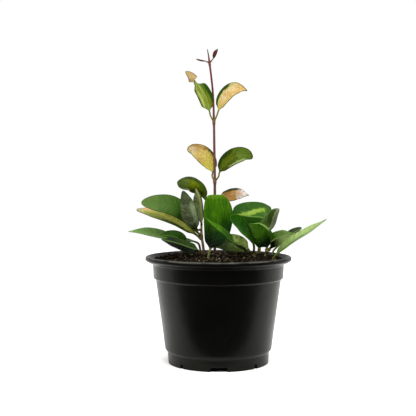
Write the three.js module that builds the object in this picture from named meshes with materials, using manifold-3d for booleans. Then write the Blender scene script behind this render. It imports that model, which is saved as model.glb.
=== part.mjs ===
// A young variegated hoya australis in a round nursery pot.
// Millimetres, +Z up, origin on the floor at the pot's axis. The front of the plant faces -Y.

import * as THREE from 'three';
import { mergeVertices } from 'three/addons/utils/BufferGeometryUtils.js';
import Module from 'manifold-3d';

const wasm = await Module();
wasm.setup();

// Clearance that touching pieces keep
const GAP = 0.35;
const SOIL_CLEARANCE = 0.5;
const MERGE_DISTANCE = 1e-4;

// Nursery pot
const POT_HEIGHT = 120;
const LIP_RADIUS = 82.5;
const LIP_ROUND = 2;
const LIP_SHOULDER = 0.6;
const LIP_DEPTH = 5.2;
const MOUTH_RADIUS = 78.1;
const MOUTH_DROP = 1.2;
const COLLAR_RADIUS = 74.1;
const COLLAR_FLARE = 9;
const COLLAR_BOTTOM = 95.7;
const COLLAR_TAPER = 0.7;
const COLLAR_STEP = 1.7;
const WALL_TOP_RADIUS = 70.8;
const WALL_FOOT_RADIUS = 60.2;
const WALL_FOOT_Z = 15.5;
const BAND_RADIUS = 57.4;
const BAND_TOP = 12.5;
const BASE_RADIUS = 56.8;
const WALL = 1.5;
const FLOOR = 2;
const POT_SIDES = 48;

// Drainage under the floor
const CHANNEL_COUNT = 4;
const CHANNEL_WIDTH = 20;
const CHANNEL_TOP_WIDTH = 17;
const CHANNEL_HEIGHT = 4.5;
const CHANNEL_START = 20;
const CHANNEL_INSET = 0.5;
const SMALL_NOTCH_WIDTH = 3.5;
const SMALL_NOTCH_START = 52;
const DRAIN_RADIUS = 4.5;
const DRAIN_SIDES = 16;
const CHANNEL_DRAIN_PLACE = 42;
const FLOOR_DRAIN_PLACE = 38;

// Soil mound
const SOIL_CREST = 120.5;
const SOIL_FALL = 0.0008;
const SOIL_EDGE_DROP = 1.5;
const SOIL_EDGE_POWER = 8;
const SOIL_EDGE = 73.8;
const SOIL_CALM_EDGE = 12;
const SOIL_RING_STEPS = 6;
const SOIL_INNER_RING = 0.12;

// Lumps of the soil: height, radians a millimetre along X and Y, and where the waves start
const BROAD_LUMPS = { height: 0.6, x: 0.31, y: 0.27, startX: 1.1, startY: 0.4 };
const SMALL_LUMPS = { height: 0.36, x: 0.53, y: -0.47, start: 2 };

// Leaf blades
const EDGE_THICKNESS = 0.8;
const RIB_THICKNESS = 1.5;
const RIM_ANGLE = 14;
const POINTS_ACROSS = 5;
const BLADE_STATIONS = [0, 0.04, 0.1, 0.2, 0.31, 0.43, 0.55, 0.67, 0.77, 0.86, 0.93, 0.975, 1];
const STALK_STEPS = 4;
const ROOT_DEPTH = 12;
const TIP_START = 0.72;
const TIP_HALF_WIDTH = 0.5;
const BASE_SHARE = 0.14;
const RIB_FADE = 0.2;
const RIB_REACH = 0.01;

// Stems
const STEM_SIDES = 8;
const STEM_STEP = 8;
const NODE_SWELL = 0.4;
const NODE_LENGTH = 3;
const LENGTH_DIVISIONS = 200;

const COLOURS = {
  pot: 0x0c0c0b,
  soil: 0x2b2019,
  redStem: 0x5c2a22,
  brownStem: 0x7a5c38,
  oliveStem: 0x77713a,
  bud: 0x5a3427,
  green: 0x3f6f1c,
  darkGreen: 0x2a5216,
  paleGreen: 0x7fb060,
  cream: 0xd9b877,
  yellow: 0xa79a3c,
  underside: 0x73826a,
};

// Stems, from the cut end in the soil to the tip, with a radius for each point.
// nodes are the points where leaves leave the stem and it swells.
const STEMS = [
  {
    name: 'vine_stem_middle', colour: 'redStem', nodes: [3, 5, 8],
    path: [
      [-4, 5, 102], [-4, 5, 137.5], [-4, 5, 176], [-4, 5, 204], [-4.5, 4.5, 239.5], [-5, 4, 271],
      [-6, 3, 301.5], [-8, 1, 321.5], [-10, 0, 337], [-11, -1, 344.5], [-12.5, -2, 352.5],
    ],
    radii: [1.7, 1.6, 1.6, 1.5, 1.4, 1.3, 1.15, 1.1, 1.1, 0.8, 0.45],
  },
  {
    name: 'vine_stem_left', colour: 'brownStem', nodes: [3, 5],
    path: [
      [-16, -6, 104], [-16, -6, 119], [-17.5, -6, 133.5], [-19, -6, 142.5], [-19, -6, 150.5],
      [-19, -7, 157],
    ],
    radii: [1.6, 1.6, 1.5, 1.4, 1.2, 1.0],
  },
  {
    name: 'vine_stem_right', colour: 'oliveStem', nodes: [3],
    path: [[47.5, 25, 99.5], [47.5, 25, 116.5], [48, 25, 128], [49, 25, 139]],
    radii: [2.2, 2.1, 1.9, 1.7],
  },
  {
    name: 'cutting_stem_right', colour: 'oliveStem', nodes: [2],
    path: [[52.5, -6, 104], [53, -6, 119], [55, -8, 128]],
    radii: [1.9, 1.9, 1.8],
  },
];

// Leaves. stalkPath runs from the stem or the soil to the blade, rib along the blade's midrib to its tip.
// face is the way the upper side looks, from the base to the tip. fold lifts each half, in degrees.
// wide, full and point shape the outline; halves scales the two sides; cup adds curve across each half.
// A leaf with no stem grows out of the soil.
const LEAVES = [
  {
    name: 'leaf_tip_right', stem: 'vine_stem_middle', colour: 'bud', width: 5.5, stalk: 0.6, fold: [20],
    stalkPath: [[-10, 0, 337]],
    rib: [[-6, -3, 341.5], [-3.5, -5, 347], [-1, -6, 352]],
    face: [[-0.5, -0.8, 0.2]],
  },
  {
    name: 'leaf_tip_left', stem: 'vine_stem_middle', colour: 'bud', width: 3, stalk: 0.6, fold: [25],
    stalkPath: [[-10, 0, 337]],
    rib: [[-15, -2, 339], [-20, -3, 339.5], [-25, -4, 341]],
    face: [[0, -0.3, 1]],
  },
  {
    name: 'leaf_upper_left', stem: 'vine_stem_middle', colour: 'green', width: 17, stalk: 0.9,
    wide: 0.32, full: 0.5, point: 0.12, fold: [12, 8, 4, 0],
    stalkPath: [[-5, 4, 271], [-9, 2, 278.5]],
    rib: [
      [-10, 2, 283], [-13, 0, 295.5], [-18.5, -2, 306.5], [-26.5, -2, 316], [-31, -2, 322.5],
      [-37, -2, 327.5],
    ],
    face: [
      [-0.2, 1, 0.1], [-0.2, 1, 0.1], [-0.1, 1, 0.1], [-0.1, 1, 0.2], [-0.8, 0.3, -0.7],
      [0.3, -1, -0.1], [0.3, -1, -0.1],
    ],
  },
  {
    name: 'leaf_upper_right', stem: 'vine_stem_middle', colour: 'cream', width: 19, stalk: 0.9,
    halves: [0.8, 1], fold: [12],
    stalkPath: [[-5, 4, 271], [-1.5, 2, 279]],
    rib: [[0, 2, 283.5], [6, -1, 296.5], [15, -4, 305.5], [24.5, -5, 307.5], [32.5, -5, 305.5]],
    face: [[-0.3, -1, 0.25]],
  },
  {
    name: 'leaf_middle_left', stem: 'vine_stem_middle', colour: 'cream', width: 20, stalk: 0.9,
    wide: 0.5, full: 0.5, point: 0, fold: [10],
    stalkPath: [[-4, 5, 204], [-7, 8, 210]],
    rib: [[-6.5, 9, 214], [-9.5, 10, 225.5], [-18, 9, 235], [-27.5, 7, 239.5], [-35.5, 5, 240.5]],
    face: [[-0.3, -1, 0.3]],
  },
  {
    name: 'leaf_middle_right', stem: 'vine_stem_middle', colour: 'green', width: 20, stalk: 0.9,
    wide: 0.52, full: 0.52, point: 0.15, fold: [10],
    stalkPath: [[-4, 5, 204], [0.5, 2, 210]],
    rib: [[1, 1, 213.5], [7.5, -2, 224], [18.5, -5, 232], [30.5, -7, 234], [38.5, -7, 230]],
    face: [[-0.3, -1, 0.3]],
  },
  {
    name: 'leaf_lower_left', stem: 'vine_stem_middle', colour: 'green', width: 22, stalk: 1,
    wide: 0.66, full: 0.42, point: 0, halves: [0.85, 1], fold: [-14],
    stalkPath: [[-4, 5, 176], [-8, 2, 179.5]],
    rib: [[-14, 0, 182.5], [-17.5, -3, 192], [-23.5, -7, 199], [-32.5, -11, 203.5], [-46, -14, 201]],
    face: [[-0.2, -1, 0.4], [-0.1, -0.8, 0.7]],
  },
  {
    name: 'leaf_lower_right', stem: 'vine_stem_middle', colour: 'cream', width: 16, stalk: 0.9,
    wide: 0.42, fold: [-8],
    stalkPath: [[-4, 5, 176], [0, 4, 182.5]],
    rib: [[1.5, 3, 186], [11, 0, 188.5], [22, -3, 190.5], [34.5, -5, 188.5]],
    face: [[0, -1, 0.5]],
  },
  {
    name: 'leaf_large_left', stem: 'vine_stem_left', colour: 'green', width: 24, stalk: 1.3,
    wide: 0.52, full: 0.5, point: 0.1, fold: [6],
    stalkPath: [[-19, -6, 142.5], [-26.5, -10, 150]],
    rib: [
      [-32.5, -13, 157], [-41, -17, 170.5], [-53.5, -20, 177.5], [-70, -22, 180], [-85.5, -22, 180.5],
    ],
    face: [[-0.2, -1, 0.6]],
  },
  {
    name: 'leaf_yellow_left', stem: 'vine_stem_left', colour: 'yellow', width: 15, stalk: 1.3,
    wide: 0.55, full: 0.42, halves: [1, 1.15], point: 0.3, fold: [4],
    stalkPath: [[-19, -6, 139]],
    rib: [[-24.5, -3, 143.5], [-45.5, -3, 159.5], [-68, -5, 168], [-92, -8, 172.5]],
    face: [[-0.1, -1, 0.8]],
  },
  {
    name: 'leaf_upright_left', stem: 'vine_stem_left', colour: 'underside', width: 18, stalk: 1.2,
    wide: 0.46, full: 0.52, point: 0.2, fold: [8],
    stalkPath: [[-19, -6, 150]],
    rib: [[-24, -14, 150.5], [-31.5, -25, 165], [-35, -31, 180], [-39, -34, 194]],
    face: [[0.1, 1, 0.2]],
  },
  {
    name: 'leaf_upright_middle', stem: 'vine_stem_left', colour: 'underside', width: 17, stalk: 1,
    full: 0.42, wide: 0.35, fold: [36, 36, 36, 12],
    stalkPath: [[-19, -7, 157]],
    rib: [[-19, -9, 157.5], [-19.5, -12, 170], [-21, -15, 183.5], [-25.5, -18, 196.5]],
    face: [[-0.6, 0.8, 0.1]],
  },
  {
    name: 'leaf_variegated_back', stem: 'vine_stem_right', colour: 'green', width: 44, stalk: 1.2,
    wide: 0.45, full: 0.3, point: 0.05, cup: -20, halves: [0.92, 0.5], fold: [0],
    stalkPath: [[49, 25, 137], [53, 30, 145.5]],
    rib: [[64, 29.5, 157.5], [51, 28.5, 162.5], [34.5, 29.5, 164], [16.5, 30, 167.5]],
    face: [[0, -1, 0.45]],
  },
  {
    name: 'leaf_upright_right', stem: 'vine_stem_right', colour: 'darkGreen', width: 20, stalk: 1.2,
    wide: 0.55, full: 0.45, point: 0.1, fold: [20],
    stalkPath: [[49, 25, 135.5], [52.5, 21, 140]],
    rib: [[56, 19.5, 145.5], [61.5, 19, 154], [65.5, 20, 166], [69.5, 22, 173]],
    face: [[-0.7, -0.6, 0.3]],
  },
  {
    name: 'leaf_bowl_right', stem: 'cutting_stem_right', colour: 'green', width: 30, stalk: 1.3,
    wide: 0.36, full: 0.5, halves: [0.86, 0.72], fold: [5],
    stalkPath: [[53.4, -7.2, 126]],
    rib: [[54.5, -7.5, 129.5], [50, -7, 139], [44, -6, 147.5], [34, -4, 156.5]],
    face: [[-0.2, -1, 0.5]],
  },
  {
    name: 'leaf_cupped_right', stem: 'cutting_stem_right', colour: 'paleGreen', width: 33, stalk: 1.3,
    wide: 0.3, full: 0.45, fold: [44, 50, 50, 16],
    stalkPath: [[56.4, -7.8, 126]],
    rib: [[57.8, -8.3, 128.8], [64.5, -9.5, 131.5], [75.5, -11, 138], [87, -12, 145.5]],
    face: [[0, -0.3, 1]],
  },
  {
    name: 'leaf_pale_left', colour: 'paleGreen', width: 18, stalk: 1.2, wide: 0.62, fold: [8],
    stalkPath: [[-21, 16, 117.5], [-21, 14, 128]],
    rib: [[-23.5, 12, 133.5], [-44, 6, 138.5], [-65, 1, 143.5], [-83, -2, 147], [-101.5, -4, 147.5]],
    face: [[0, -0.6, 1]],
  },
  {
    name: 'leaf_round_left', colour: 'green', width: 19, stalk: 1.1, wide: 0.38, full: 0.5, fold: [4],
    stalkPath: [[-32, -6, 119], [-33.5, -8, 127]],
    rib: [[-37.5, -13, 133], [-46.5, -18, 141.5], [-64, -26, 145]],
    face: [[-0.2, -0.9, 0.8]],
  },
  {
    name: 'leaf_dark_left', colour: 'darkGreen', width: 18, stalk: 1.1,
    wide: 0.34, full: 0.4, halves: [1.25, 0.8], fold: [-12],
    stalkPath: [[-19.5, -22.5, 117.5], [-19.5, -23, 123]],
    rib: [[-22, -26, 127.5], [-31.5, -28, 131], [-44.5, -32, 136], [-62.5, -37, 141]],
    face: [[0, -0.9, 1]],
  },
  {
    name: 'leaf_big_centre', colour: 'green', width: 35, stalk: 1.3,
    wide: 0.62, full: 0.28, point: 0, halves: [1.2, 0.66], fold: [8],
    stalkPath: [[-12, -42, 117], [-11, -42, 123.5]],
    rib: [[-9.5, -42, 130], [-8, -38, 140.5], [-6, -34, 153], [-5.5, -31, 170.5], [-7, -28, 189.5]],
    face: [[0.2, -1, 0.3]],
  },
  {
    name: 'leaf_narrow_crossing', colour: 'green', width: 10, stalk: 1.2, full: 0.5, fold: [16],
    stalkPath: [[36.5, -8, 121], [35.8, -10.5, 124.5]],
    rib: [[31.5, -20, 127.3], [19, -41, 135], [5.5, -54, 149], [-6, -59, 158], [-15.5, -61, 166.5]],
    face: [[-0.45, -0.7, 0.75]],
  },
  {
    name: 'leaf_broad_low', colour: 'yellow', width: 22, stalk: 1.2, full: 0.5, fold: [5],
    stalkPath: [[37, 8, 118], [36.5, 6, 122]],
    rib: [[34.5, 3, 126.5], [24.5, -2, 133], [11, -7, 134.5], [-4, -11, 130.5]],
    face: [[0.1, -1, 0.5]],
  },
  {
    name: 'leaf_dark_green', colour: 'darkGreen', width: 17, stalk: 1.3,
    wide: 0.68, full: 0.5, point: 0, halves: [0.95, 1.25], fold: [10],
    stalkPath: [[41, -5, 117.5], [40, -6, 124.5]],
    rib: [[39.5, -13, 132.5], [34.5, -23, 144], [28, -32, 153], [21, -39, 160.5], [12, -45, 165.5]],
    face: [[0.5, -0.9, 0.5]],
  },
  {
    name: 'leaf_small_back', colour: 'darkGreen', width: 17, stalk: 1.1,
    wide: 0.6, full: 0.45, point: 0.1, fold: [10],
    stalkPath: [[63, 32, 115], [65, 34, 122.5]],
    rib: [[71.5, 35, 129], [84.5, 35, 141.5], [98, 34, 150]],
    face: [[-0.3, -0.4, 1]],
  },
  {
    name: 'leaf_long_right', colour: 'paleGreen', width: 14, stalk: 1.3, wide: 0.45, fold: [14],
    stalkPath: [[59, -30, 117]],
    rib: [[61.5, -31, 122], [70.5, -32, 131.5], [82, -33, 140.5], [98.5, -35, 150.5], [117, -38, 163]],
    face: [[-0.3, -0.5, 1]],
  },
];

// Small maths helpers
const radians = (degrees) => degrees * Math.PI / 180;
const vector = (point) => new THREE.Vector3(...point);
const smooth = (low, high, x) => THREE.MathUtils.smoothstep(x, low, high);

// Blends along a list of numbers, u from 0 to 1
function along(values, u) {
  const place = THREE.MathUtils.clamp(u, 0, 1) * (values.length - 1);
  const index = Math.min(Math.floor(place), Math.max(values.length - 2, 0));
  const next = Math.min(index + 1, values.length - 1);
  return THREE.MathUtils.lerp(values[index], values[next], place - index);
}

// Blends along a list of directions, with an easy start and stop at each
function directionAlong(directions, u) {
  const place = THREE.MathUtils.clamp(u, 0, 1) * (directions.length - 1);
  const index = Math.min(Math.floor(place), Math.max(directions.length - 2, 0));
  const next = Math.min(index + 1, directions.length - 1);
  return vector(directions[index]).lerp(vector(directions[next]), smooth(0, 1, place - index));
}

// Solids and meshes
function solidOf(geometry) {
  const bare = geometry.clone();
  bare.deleteAttribute('normal');
  bare.deleteAttribute('uv');
  const merged = mergeVertices(bare, MERGE_DISTANCE);
  const mesh = new wasm.Mesh({
    numProp: 3,
    vertProperties: new Float32Array(merged.attributes.position.array),
    triVerts: new Uint32Array(merged.index.array),
  });
  return new wasm.Manifold(mesh);
}

function geometryOf(solid) {
  const mesh = solid.getMesh();
  const geometry = new THREE.BufferGeometry();
  geometry.setAttribute('position', new THREE.BufferAttribute(new Float32Array(mesh.vertProperties), 3));
  geometry.setIndex(new THREE.BufferAttribute(new Uint32Array(mesh.triVerts), 1));
  geometry.computeVertexNormals();
  return geometry;
}

// The biggest body of a cut solid; a cut can leave a scrap on the far side
function biggestBody(solid) {
  const bodies = solid.decompose();
  return bodies.reduce((best, body) => (body.volume() > best.volume() ? body : best));
}

// A closed skin over rings of points. Where mirrorFrom is given, the ring's points from there on lie
// under the first ones, and their faces are split along the same diagonals.
function loft(rings, mirrorFrom = Infinity) {
  const count = rings[0].length;
  const positions = rings.flat().flatMap((point) => point.toArray());
  const faces = [];
  for (let i = 0; i + 1 < rings.length; i += 1) {
    for (let k = 0; k < count; k += 1) {
      const a = i * count + k;
      const b = i * count + (k + 1) % count;
      const c = a + count;
      const d = b + count;
      faces.push(...(k < mirrorFrom ? [a, b, c, b, d, c] : [a, b, d, a, d, c]));
    }
  }
  const last = (rings.length - 1) * count;
  for (let k = 1; k + 1 < count; k += 1) {
    faces.push(0, k + 1, k);
    faces.push(last, last + k, last + k + 1);
  }
  const geometry = new THREE.BufferGeometry();
  geometry.setAttribute('position', new THREE.Float32BufferAttribute(positions, 3));
  geometry.setIndex(faces);
  return facingOut(geometry);
}

// Turns a closed skin the right way out
function facingOut(geometry) {
  const position = geometry.attributes.position;
  const index = geometry.index;
  const [a, b, c] = [new THREE.Vector3(), new THREE.Vector3(), new THREE.Vector3()];
  let volume = 0;
  for (let i = 0; i < index.count; i += 3) {
    a.fromBufferAttribute(position, index.getX(i));
    b.fromBufferAttribute(position, index.getX(i + 1));
    c.fromBufferAttribute(position, index.getX(i + 2));
    volume += a.dot(b.cross(c));
  }
  if (volume < 0) {
    for (let i = 0; i < index.count; i += 3) {
      const first = index.getX(i);
      index.setX(i, index.getX(i + 1));
      index.setX(i + 1, first);
    }
  }
  geometry.computeVertexNormals();
  return geometry;
}

// Pot
function wallProfile() {
  return [
    [BASE_RADIUS, 0],
    [BAND_RADIUS, BAND_TOP],
    [WALL_FOOT_RADIUS, WALL_FOOT_Z],
    [WALL_TOP_RADIUS, COLLAR_BOTTOM - COLLAR_STEP],
    [COLLAR_RADIUS - COLLAR_TAPER, COLLAR_BOTTOM],
    [COLLAR_RADIUS, POT_HEIGHT - COLLAR_FLARE],
    [LIP_RADIUS - LIP_ROUND / 2, POT_HEIGHT - LIP_DEPTH],
    [LIP_RADIUS, POT_HEIGHT - LIP_DEPTH + LIP_ROUND / 2],
    [LIP_RADIUS, POT_HEIGHT - LIP_ROUND],
    [LIP_RADIUS - LIP_SHOULDER, POT_HEIGHT - LIP_SHOULDER],
    [LIP_RADIUS - LIP_ROUND, POT_HEIGHT],
    [MOUTH_RADIUS + MOUTH_DROP, POT_HEIGHT],
    [MOUTH_RADIUS, POT_HEIGHT - MOUTH_DROP],
  ];
}

// The inside follows the outside at the wall's thickness; with a clearance it is the room the soil fills
function insideProfile(clearance = 0) {
  const inwards = WALL + clearance;
  const upwards = WALL / 2 + clearance;
  return [
    [MOUTH_RADIUS - clearance, POT_HEIGHT - MOUTH_DROP],
    [COLLAR_RADIUS - inwards, POT_HEIGHT - COLLAR_FLARE + WALL],
    [COLLAR_RADIUS - COLLAR_TAPER - inwards, COLLAR_BOTTOM + upwards],
    [WALL_TOP_RADIUS - inwards, COLLAR_BOTTOM - COLLAR_STEP + upwards],
    [WALL_FOOT_RADIUS - inwards, WALL_FOOT_Z + upwards],
    [BAND_RADIUS - inwards, BAND_TOP + upwards],
    [BASE_RADIUS - inwards, FLOOR + clearance],
  ];
}

function revolve(profile, sides) {
  const points = [[0, profile[0][1]], ...profile, [0, profile[profile.length - 1][1]]];
  const lathe = new THREE.LatheGeometry(points.map(([r, z]) => new THREE.Vector2(r, z)), sides);
  return solidOf(facingOut(lathe.rotateX(Math.PI / 2)));
}

// A bar of trapezoid section that runs outwards from the pot's axis, turned to an angle
function radialBar(start, width, topWidth, angle, end = LIP_RADIUS, bottom = -1, top = CHANNEL_HEIGHT) {
  const section = new THREE.Shape([
    new THREE.Vector2(-width / 2, bottom),
    new THREE.Vector2(width / 2, bottom),
    new THREE.Vector2(topWidth / 2, top),
    new THREE.Vector2(-topWidth / 2, top),
  ]);
  const bar = new THREE.ExtrudeGeometry(section, { depth: end - start, bevelEnabled: false });
  bar.rotateX(Math.PI / 2).translate(0, -start, 0).rotateZ(angle);
  return solidOf(bar);
}

function drainHole(place, angle) {
  const hole = new THREE.CylinderGeometry(DRAIN_RADIUS, DRAIN_RADIUS, 4 * CHANNEL_HEIGHT, DRAIN_SIDES);
  return solidOf(hole.rotateX(Math.PI / 2).translate(0, -place, 0).rotateZ(angle));
}

function potSolid() {
  const outside = revolve(wallProfile(), POT_SIDES);
  let pot = outside.subtract(revolve(insideProfile(), POT_SIDES));
  for (let i = 0; i < CHANNEL_COUNT; i += 1) {
    const angle = i * 2 * Math.PI / CHANNEL_COUNT;
    const between = angle + Math.PI / CHANNEL_COUNT;
    const channel = radialBar(CHANNEL_START, CHANNEL_WIDTH, CHANNEL_TOP_WIDTH, angle);
    const notch = radialBar(SMALL_NOTCH_START, SMALL_NOTCH_WIDTH, SMALL_NOTCH_WIDTH, between);
    pot = pot
      .add(channelHousing(angle).intersect(outside))
      .subtract(channel)
      .subtract(notch)
      .subtract(drainHole(CHANNEL_DRAIN_PLACE, angle))
      .subtract(drainHole(FLOOR_DRAIN_PLACE, between));
  }
  return pot;
}

// The raised roof and sides over a drainage channel; with a clearance it is the room the soil leaves
function channelHousing(angle, clearance = 0) {
  const shell = WALL + clearance;
  return radialBar(CHANNEL_START - shell, CHANNEL_WIDTH + 2 * shell, CHANNEL_TOP_WIDTH + 2 * shell, angle,
    BASE_RADIUS - CHANNEL_INSET + clearance, 0, CHANNEL_HEIGHT + shell);
}

// Soil
function soilHeight(x, y) {
  const r = Math.hypot(x, y);
  const mound = SOIL_CREST - SOIL_FALL * r * r - SOIL_EDGE_DROP * (r / SOIL_EDGE) ** SOIL_EDGE_POWER;
  const { startX, startY } = BROAD_LUMPS;
  const broad = Math.sin(BROAD_LUMPS.x * x + startX) * Math.cos(BROAD_LUMPS.y * y + startY);
  const small = Math.sin(SMALL_LUMPS.x * x + SMALL_LUMPS.y * y + SMALL_LUMPS.start);
  const calm = 1 - smooth(SOIL_EDGE - SOIL_CALM_EDGE, SOIL_EDGE, r);
  return mound + (BROAD_LUMPS.height * broad + SMALL_LUMPS.height * small) * calm;
}

function soilSolid() {
  const ring = (r, height) => Array.from({ length: POT_SIDES }, (_, k) => {
    const angle = 2 * Math.PI * k / POT_SIDES;
    const [x, y] = [r * Math.cos(angle), r * Math.sin(angle)];
    return new THREE.Vector3(x, y, height ?? soilHeight(x, y));
  });
  const side = insideProfile(SOIL_CLEARANCE).slice(1).reverse();
  const rings = side.map(([r, z]) => ring(r, z));
  for (let i = 0; i < SOIL_RING_STEPS; i += 1) {
    rings.push(ring(SOIL_EDGE * Math.sqrt(1 - i / SOIL_RING_STEPS)));
  }
  rings.push(ring(SOIL_EDGE * SOIL_INNER_RING));
  let soil = solidOf(loft(rings));
  for (let i = 0; i < CHANNEL_COUNT; i += 1) {
    soil = soil.subtract(channelHousing(i * 2 * Math.PI / CHANNEL_COUNT, GAP));
  }
  for (const stem of STEMS) {
    soil = soil.subtract(solidOf(stemGeometry(stem, GAP)));
  }
  for (const leaf of LEAVES.filter((item) => !item.stem)) {
    soil = soil.subtract(solidOf(leafGeometry(leaf, GAP)));
  }
  return biggestBody(soil);
}

// Stems
function stemGeometry(stem, clearance = 0) {
  const curve = new THREE.CatmullRomCurve3(stem.path.map(vector));
  const length = curve.getLength();
  const steps = Math.ceil(length / STEM_STEP);
  const nodePlaces = stem.nodes.map((index) => lengthAtPoint(curve, index));
  const rings = Array.from({ length: steps + 1 }, (_, i) => {
    const u = i / steps;
    const swell = nodePlaces.reduce((most, place) => (
      Math.max(most, Math.exp(-(((u * length - place) / NODE_LENGTH) ** 2)))), 0);
    const radius = along(stem.radii, curve.getUtoTmapping(u));
    return circleAt(curve, u, radius * (1 + NODE_SWELL * swell) + clearance);
  });
  shiftRing(rings[0], curve.getTangentAt(0), -clearance);
  shiftRing(rings[steps], curve.getTangentAt(1), clearance);
  return loft(rings);
}

function shiftRing(ring, direction, distance) {
  ring.forEach((point) => point.addScaledVector(direction, distance));
}

function lengthAtPoint(curve, index) {
  const lengths = curve.getLengths(LENGTH_DIVISIONS);
  const place = index / (curve.points.length - 1) * LENGTH_DIVISIONS;
  return lengths[Math.round(place)];
}

function circleAt(curve, u, radius) {
  const centre = curve.getPointAt(u);
  const tangent = curve.getTangentAt(u);
  const side = new THREE.Vector3(1, 0, 0).addScaledVector(tangent, -tangent.x).normalize();
  const other = tangent.clone().cross(side);
  return Array.from({ length: STEM_SIDES }, (_, k) => {
    const angle = 2 * Math.PI * k / STEM_SIDES;
    return centre.clone()
      .addScaledVector(side, radius * Math.cos(angle))
      .addScaledVector(other, radius * Math.sin(angle));
  });
}

// Leaves
function outlineAt(leaf, b) {
  const { wide = 0.5, full = 0.6, point = 0.55 } = leaf;
  const stretch = Math.log(0.5) / Math.log(wide);
  return Math.sin(Math.PI * Math.min(b, 1) ** stretch) ** full * (1 - point * smooth(TIP_START, 1, b));
}

function leafGeometry(leaf, clearance = 0) {
  const foot = vector(leaf.stalkPath[0]);
  const rooted = leaf.stem ? [] : [foot.clone().setZ(foot.z - ROOT_DEPTH)];
  const stalk = [...rooted, ...leaf.stalkPath.map(vector)];
  const curve = new THREE.CatmullRomCurve3([...stalk, ...leaf.rib.map(vector)]);
  const start = lengthAtPoint(curve, stalk.length) / curve.getLength();
  const stalkStations = Array.from({ length: STALK_STEPS }, (_, i) => start * i / STALK_STEPS);
  const bladeStations = BLADE_STATIONS.map((b) => start + (1 - start) * b);
  const rings = [...stalkStations, ...bladeStations].map((u) => (
    leafRing(leaf, curve, u, (u - start) / (1 - start), clearance)));
  shiftRing(rings[0], curve.getTangentAt(0), -clearance);
  return loft(rings, POINTS_ACROSS);
}

// One ring of a leaf: round on the stalk, then a thin folded lens across the blade
function leafRing(leaf, curve, u, bladePlace, clearance) {
  const b = Math.max(bladePlace, 0);
  const centre = curve.getPointAt(Math.min(u, 1));
  const tangent = curve.getTangentAt(Math.min(u, 1));
  const up = directionAlong(leaf.face, b);
  up.addScaledVector(tangent, -up.dot(tangent)).normalize();
  const side = tangent.clone().cross(up);
  const radius = leaf.stalk + clearance;
  const flatness = smooth(0, BASE_SHARE, b);
  const points = [];
  for (let k = 0; k < 2 * POINTS_ACROSS; k += 1) {
    const upper = k < POINTS_ACROSS;
    const column = upper ? k : 2 * POINTS_ACROSS - 1 - k;
    const angle = radians(RIM_ANGLE + (180 - 2 * RIM_ANGLE) * column / (POINTS_ACROSS - 1));
    const q = Math.cos(angle) / Math.cos(radians(RIM_ANGLE));
    const face = upper ? 1 : -1;
    const round = side.clone().multiplyScalar(radius * Math.cos(angle))
      .addScaledVector(up, face * radius * Math.sin(angle));
    points.push(centre.clone().add(round.lerp(bladePoint(leaf, side, up, b, q, face, radius), flatness)));
  }
  return points;
}

function bladePoint(leaf, side, up, b, q, face, radius) {
  const { halves = [1, 1], cup = 0 } = leaf;
  const reach = Math.abs(q);
  const half = leaf.width / 2 * outlineAt(leaf, b) * halves[q > 0 ? 0 : 1];
  const width = Math.max(half, THREE.MathUtils.lerp(radius, TIP_HALF_WIDTH, b));
  const fold = radians(along(leaf.fold, b));
  const lift = fold + radians(cup) * reach / 2;
  const tilt = reach < RIB_REACH ? 0 : fold + radians(cup) * reach;
  const taper = THREE.MathUtils.clamp((1 - b) / RIB_FADE, 0, 1);
  const thickness = EDGE_THICKNESS + (RIB_THICKNESS - EDGE_THICKNESS) * (1 - reach) ** 2 * taper;
  return side.clone().multiplyScalar(q * width * Math.cos(lift))
    .addScaledVector(up, reach * width * Math.sin(lift))
    .addScaledVector(up, face * thickness / 2 * Math.cos(tilt))
    .addScaledVector(side, -face * thickness / 2 * Math.sign(q) * Math.sin(tilt));
}

// A leaf stops just short of the stem that it grows from
function leafSolid(leaf) {
  const solid = solidOf(leafGeometry(leaf));
  if (!leaf.stem) return solid;
  const stem = STEMS.find((item) => item.name === leaf.stem);
  return biggestBody(solid.subtract(solidOf(stemGeometry(stem, GAP))));
}

// Scene graph
const group = new THREE.Group();

function addPiece(name, geometry, colour, roughness) {
  const material = new THREE.MeshStandardMaterial({ color: COLOURS[colour], roughness, metalness: 0 });
  const mesh = new THREE.Mesh(geometry, material);
  mesh.name = name;
  group.add(mesh);
}

addPiece('pot', geometryOf(potSolid()), 'pot', 0.35);
addPiece('potting_soil', geometryOf(soilSolid()), 'soil', 0.95);
for (const stem of STEMS) {
  addPiece(stem.name, stemGeometry(stem), stem.colour, 0.6);
}
for (const leaf of LEAVES) {
  addPiece(leaf.name, geometryOf(leafSolid(leaf)), leaf.colour, 0.4);
}

export default group;
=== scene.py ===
"""Potted variegated hoya australis: the finish of every surface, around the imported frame."""

import math
import random
from types import SimpleNamespace

import bmesh
import bpy
import numpy as np
from mathutils import Matrix, Vector, noise


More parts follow.
